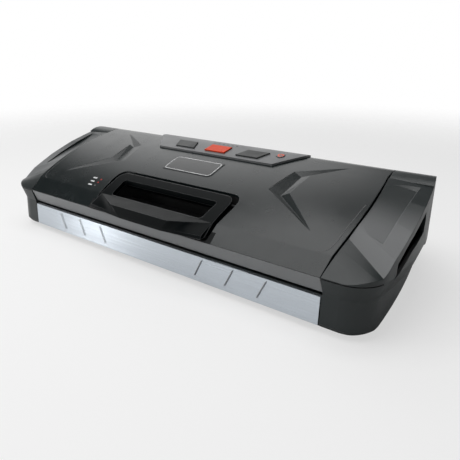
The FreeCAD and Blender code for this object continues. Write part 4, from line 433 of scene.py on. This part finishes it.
def softFoam(name, colour, roughness, cells, depth):
    # closed foam or rubber: rounded cells from a cell pattern
    finish, tree, shader = startFinish(name, colour, roughness, 0.0, foamSkin["specular"])
    pattern = addNode(tree, "ShaderNodeTexVoronoi", Vector=objectPlace(tree), Scale=cells)
    tree.links.new(toneBy(tree, pattern.outputs["Distance"], colour, foamSkin["tones"]), shader.inputs["Base Color"])
    relief(tree, shader, pattern.outputs["Distance"], depth)
    return finish


# The wave texture runs through bandRate radians per metre at a scale of 1.
tape = {"colour": (0.30, 0.20, 0.10), "roughness": 0.45, "pitch": 0.0006, "bandRate": 20, "fullTurn": 6.283,
        "tones": (0.7, 1.15), "depth": 0.0001}


def wovenTape(name):
    # glass cloth under a smooth film: two crossed waves make the weave
    finish, tree, shader = startFinish(name, tape["colour"], tape["roughness"])
    scale = 1 / (tape["bandRate"] * tape["pitch"]) * tape["fullTurn"]
    waves = [addNode(tree, "ShaderNodeTexWave", {"bands_direction": way}, Vector=objectPlace(tree),
                     Scale=scale).outputs["Fac"] for way in ("X", "Y")]
    weave = product(tree, *waves)
    tree.links.new(toneBy(tree, weave, tape["colour"], tape["tones"]), shader.inputs["Base Color"])
    relief(tree, shader, weave, tape["depth"])
    return finish


# The front one of the red lights is unlit: what lies before its row takes the dull colour.
lenses = {
    "lens_clear": {"colour": (0.10, 0.11, 0.11), "glow": 0.0},
    "lens_red": {"colour": (0.58, 0.04, 0.03), "glow": 0.2, "unlitRow": -0.0866, "dullColour": (0.34, 0.35, 0.36)},
}

lensBody = {"roughness": 0.18, "specular": 0.6, "clear": 0.3, "driftScale": 900.0, "tones": (0.8, 1.1),
            "depth": 0.00003}


def clearLens(name, colour, glow, unlitRow=None, dullColour=None):
    # a small moulded light guide, tinted and slightly lit
    b = lensBody
    finish, tree, shader = startFinish(name, colour, b["roughness"], 0.0, b["specular"])
    shader.inputs["Transmission Weight"].default_value = b["clear"]
    shader.inputs["Emission Color"].default_value = (*colour, 1)
    shader.inputs["Emission Strength"].default_value = glow
    drift = noiseOn(tree, b["driftScale"])
    tone = toneBy(tree, drift, colour, b["tones"])
    if unlitRow is not None:
        before = calc(tree, "LESS_THAN", objectAxes(tree)[1], unlitRow)
        tone = over(tree, before, tone, dullColour)
        tree.links.new(over(tree, before, colour, (0.0, 0.0, 0.0)), shader.inputs["Emission Color"])
    tree.links.new(tone, shader.inputs["Base Color"])
    relief(tree, shader, drift, b["depth"])
    return finish


iron = {"colour": (0.11, 0.11, 0.12), "roughness": 0.5, "metallic": 0.7, "stretch": (1, 2200, 1),
        "tones": (0.6, 1.2), "depth": 0.0001, "edge": 0.0004}


def laminatedIron(name):
    # stacked sheets: fine bands along the stack
    finish, tree, shader = startFinish(name, iron["colour"], iron["roughness"], iron["metallic"])
    sheets = noiseOn(tree, 1.0, stretch=iron["stretch"])
    tree.links.new(toneBy(tree, spread(tree, sheets, 0, 1), iron["colour"], iron["tones"]),
                   shader.inputs["Base Color"])
    relief(tree, shader, sheets, iron["depth"], iron["edge"])
    return finish


finishes = {"tape": wovenTape("tape"), "iron": laminatedIron("iron")}
for make, kinds in ((mouldedPlastic, plastics), (brushedMetal, metals), (softFoam, foams), (clearLens, lenses)):
    finishes.update({name: make(name, **values) for name, values in kinds.items()})

ownFinish = {"lid_handle": "handle_plastic", "latch_shaft": "dark_steel", "power_button": "panel_plastic"}

for nodeName, node in nodes.items():
    for place in node.material_slots:
        place.material = finishes[ownFinish.get(nodeName, place.material.name.split(".")[0])]
print("finishes on", len(nodes), "nodes")


# Printed marks, and a fine raised line of painted highlight: low beads on the surfaces.
inks = {
    "whiteInk": {"colour": (0.84, 0.85, 0.86), "roughness": 0.5},
    "redInk": {"colour": (0.85, 0.085, 0.025), "roughness": 0.5},
    "etchInk": {"colour": (0.30, 0.31, 0.32), "roughness": 0.5},
    # grey of the painted highlight along the lid's ends
    "highlightInk": {"colour": (0.07, 0.073, 0.074), "roughness": 0.35},
}

inkCover = {"specular": 0.4, "scale": 2500.0, "tones": (0.85, 1.08)}


def printedInk(name, colour, roughness):
    # pad-printed ink: slightly uneven cover
    finish, tree, shader = startFinish(name, colour, roughness, 0.0, inkCover["specular"])
    cover = spread(tree, noiseOn(tree, inkCover["scale"]), 0, 1)
    tree.links.new(toneBy(tree, cover, colour, inkCover["tones"]), shader.inputs["Base Color"])
    return finish


inkFinishes = {name: printedInk(name, **values) for name, values in inks.items()}

bead = {"sides": 10, "sunk": 0.4, "tip": 0.02}      # sunk: depth of the lower half; tip: least reach of a round end


def lidSurface(x, y, lift):
    # height over y: z = centre + sqrt((radius + lift)^2 - (y - centre)^2) on the arc that holds y
    rolled = y > lidShape["crownEnd"]
    midY = np.where(rolled, lidShape["rollY"], lidShape["crownY"])
    midZ = np.where(rolled, lidShape["rollZ"], lidShape["crownZ"])
    reach = np.where(rolled, lidShape["rollRadius"], lidShape["crownRadius"]) + lift
    z = midZ + np.sqrt(reach ** 2 - (y - midY) ** 2)
    normal = np.stack([np.zeros_like(y), (y - midY) / reach, (z - midZ) / reach], axis=-1)
    return np.stack([x, y, z], axis=-1), normal


def runLength(x, y):
    # distance gone along a plan line at each of its points
    return np.concatenate([[0], np.cumsum(np.hypot(np.diff(x), np.diff(y)))])


def gridFaces(rows, cols, closed):
    # quads of a grid whose columns close on themselves, and whose rows do too where the line is a loop
    i, j = np.meshgrid(np.arange(rows if closed else rows - 1), np.arange(cols), indexing="ij")
    i, j = i.ravel(), j.ravel()
    nextRow, nextCol = (i + 1) % rows, (j + 1) % cols
    return np.stack([i * cols + j, nextRow * cols + j, nextRow * cols + nextCol, i * cols + nextCol], axis=-1)


def printedLine(path, normal, width, height, closed=False):
    # low bead: a half ellipse, width across and height up, sunk a little, carried along the path; open ends round off
    path, normal = np.asarray(path, float), np.asarray(normal, float)
    if closed:
        run = np.roll(path, -1, axis=0) - np.roll(path, 1, axis=0)
    else:
        run = np.gradient(path, axis=0)
    run /= np.linalg.norm(run, axis=1, keepdims=True)
    side = np.cross(normal, run)
    side /= np.linalg.norm(side, axis=1, keepdims=True)
    turn = np.linspace(0, 2 * np.pi, bead["sides"], endpoint=False)
    across, rise = np.cos(turn), np.sin(turn)
    rise = np.where(rise < 0, rise * bead["sunk"], rise)
    size = np.ones(len(path))
    if not closed:
        gone = np.concatenate([[0], np.cumsum(np.linalg.norm(np.diff(path, axis=0), axis=1))])
        toEnd = np.minimum(gone, gone[-1] - gone) / (width / 2)
        size = np.sqrt(np.clip(1 - (1 - np.clip(toEnd, bead["tip"], 1)) ** 2, 0, 1))
    points = (path[:, None, :] + side[:, None, :] * (across * width / 2)[None, :, None] * size[:, None, None]
              + normal[:, None, :] * (rise * height)[None, :, None] * size[:, None, None])
    return points.reshape(-1, 3), gridFaces(len(path), bead["sides"], closed)


def putLines(name, lines, ink):
    # stacks the (points, faces) pairs of several lines into one piece
    counts = np.cumsum([0] + [len(points) for points, faces in lines[:-1]])
    points = np.concatenate([points for points, faces in lines])
    faces = np.concatenate([faces + start for (points, faces), start in zip(lines, counts)])
    mesh = bpy.data.meshes.new(name)
    mesh.from_pydata(points.tolist(), [], faces.tolist())
    mesh.polygons.foreach_set("use_smooth", np.full(len(mesh.polygons), True))
    mesh.materials.append(inkFinishes[ink])
    mesh.update()
    return putObject(name, mesh)


# Bag-width marks on the strip: slanted lines whose feet stand nearer the middle.
widthMarks = {
    "tops": (0.1512, 0.1144, 0.0771), "feet": (0.1420, 0.1051, 0.0677),   # distances from the middle
    "topZ": 0.0305, "footZ": 0.0119, "faceFootY": -0.1102, "faceTopY": -0.1087, "faceLow": 0.007, "faceHigh": 0.0326,
    "width": 0.0011, "height": 0.00012, "steps": 24,
}


def makeWidthMarks():
    # straight lines on the strip's leaning face: x and z run evenly from foot to top, y follows the face
    w = widthMarks
    low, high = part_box("front_strip")
    rise = np.linspace(0, 1, w["steps"])
    z = w["footZ"] + (w["topZ"] - w["footZ"]) * rise
    lean = (z - w["faceLow"]) / (w["faceHigh"] - w["faceLow"])
    y = w["faceFootY"] + (w["faceTopY"] - w["faceFootY"]) * lean
    tilt = np.array([0.0, -(w["faceHigh"] - w["faceLow"]), w["faceTopY"] - w["faceFootY"]])
    normal = np.tile(tilt / np.linalg.norm(tilt), (w["steps"], 1))
    lines = []
    for side in (-1, 1):
        for top, foot in zip(w["tops"], w["feet"]):
            x = side * (foot + (top - foot) * rise)
            lines.append(printedLine(np.stack([x, y, z], axis=-1), normal, w["width"], w["height"]))
    piece = putLines("width_marks", lines, "etchInk")
    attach(piece, "base")
    print("strip spans", [round(v, 5) for v in (*low, *high)])


# Printed dashes beside the status lights, each a short bar on the lid.
statusDashes = {
    "places": ((-0.1157, -0.0787), (-0.1144, -0.0840), (-0.1130, -0.0892)),
    "length": 0.0070, "width": 0.0021, "height": 0.00008, "steps": 32,
}


def makeStatusDashes():
    # level lines across the lid, laid on its surface
    d = statusDashes
    along = np.linspace(-0.5, 0.5, d["steps"]) * d["length"]
    lines = [printedLine(*lidSurface(x + along, np.full(d["steps"], y), 0.0), d["width"], d["height"])
             for x, y in d["places"]]
    piece = putLines("status_dashes", lines, "whiteInk")
    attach(piece, "lid")


# A thin printed border round the bare badge plate.
badgeBorder = {"middle": (-0.0045, -0.027), "size": (0.067, 0.0245), "corner": 0.004, "lift": 0.0006,
               "width": 0.0008, "height": 0.00006, "steps": 160}


def roundedLoop(middle, loopSize, corner, steps):
    # rounded rectangle: four quarter circles of the corner radius joined by straight runs, evenly stepped
    halfX, halfY = loopSize[0] / 2 - corner, loopSize[1] / 2 - corner
    turn = np.linspace(0, 2 * np.pi, steps * 4, endpoint=False)
    quarter = np.floor(turn / (np.pi / 2)) * (np.pi / 2) + np.pi / 4
    x = np.sign(np.cos(quarter)) * halfX + corner * np.cos(turn)
    y = np.sign(np.sin(quarter)) * halfY + corner * np.sin(turn)
    x, y = np.append(x, x[0]), np.append(y, y[0])
    gone = runLength(x, y)
    want = np.linspace(0, gone[-1], steps, endpoint=False)
    return middle[0] + np.interp(want, gone, x), middle[1] + np.interp(want, gone, y)


def makeBadgeBorder():
    # the loop laid on the lid's surface, lifted to the plate's top
    b = badgeBorder
    x, y = roundedLoop(b["middle"], b["size"], b["corner"], b["steps"])
    line = printedLine(*lidSurface(x, y, b["lift"]), b["width"], b["height"], closed=True)
    piece = putLines("badge_border", [line], "whiteInk")
    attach(piece, "lid")


# The red sign on the power key: a ring left open at the rear and a short bar in the opening, on the key's sloped top.
powerSign = {
    "middle": (0.0820, 0.0203, 0.11105), "tilt": (0.0, -0.214, 0.977), "radius": 0.0030, "opening": 70.0,
    "bar": (0.0004, 0.0036), "width": 0.0019, "height": 0.00012, "steps": 60,
}


def makePowerSign():
    # circle and bar drawn in the plane through the middle, square to the tilt
    s = powerSign
    middle, tilt = np.array(s["middle"]), np.array(s["tilt"])
    tilt /= np.linalg.norm(tilt)
    right = np.array([1.0, 0.0, 0.0])
    rear = np.cross(tilt, right)
    turn = np.radians(np.linspace(90 + s["opening"] / 2, 450 - s["opening"] / 2, s["steps"]))
    ring = middle + s["radius"] * (np.cos(turn)[:, None] * right + np.sin(turn)[:, None] * rear)
    bar = middle + np.linspace(*s["bar"], s["steps"])[:, None] * rear
    up = np.tile(tilt, (s["steps"], 1))
    lines = [printedLine(path, up, s["width"], s["height"]) for path in (ring, bar)]
    piece = putLines("power_sign", lines, "redInk")
    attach(piece, "power_key")


# Painted highlight along the lid's ends: a fine raised grey line near each end of the crown, turning in along the
# front slope, standing in for the light its rounded edge catches.
endHighlightLines = {
    "x": (0.2052, 0.2039, 0.2030, 0.20275, 0.2013, 0.1974, 0.1916),
    "y": (-0.0331, -0.0544, -0.0659, -0.0781, -0.0905, -0.0947, -0.0964),
    "width": 0.0008, "height": 0.00010, "steps": 120, "meanReach": 6,      # the mean takes this many on each side
}


def makeEndHighlightLines():
    # the points are joined by chord length and smoothed by a short running mean, then laid on the crown
    b = endHighlightLines
    x, y = np.array(b["x"]), np.array(b["y"])
    gone = runLength(x, y)
    want = np.linspace(0, gone[-1], b["steps"])
    count = 2 * b["meanReach"] + 1
    mean = np.ones(count) / count
    x, y = [np.convolve(np.pad(np.interp(want, gone, row), b["meanReach"], mode="edge"), mean, mode="valid")
            for row in (x, y)]
    lines = [printedLine(*lidSurface(side * x, y, 0.0), b["width"], b["height"]) for side in (-1, 1)]
    piece = putLines("lid_end_highlight_lines", lines, "highlightInk")
    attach(piece, "lid")


makeWidthMarks()
makeStatusDashes()
makeBadgeBorder()
makePowerSign()
makeEndHighlightLines()
print("marks printed")
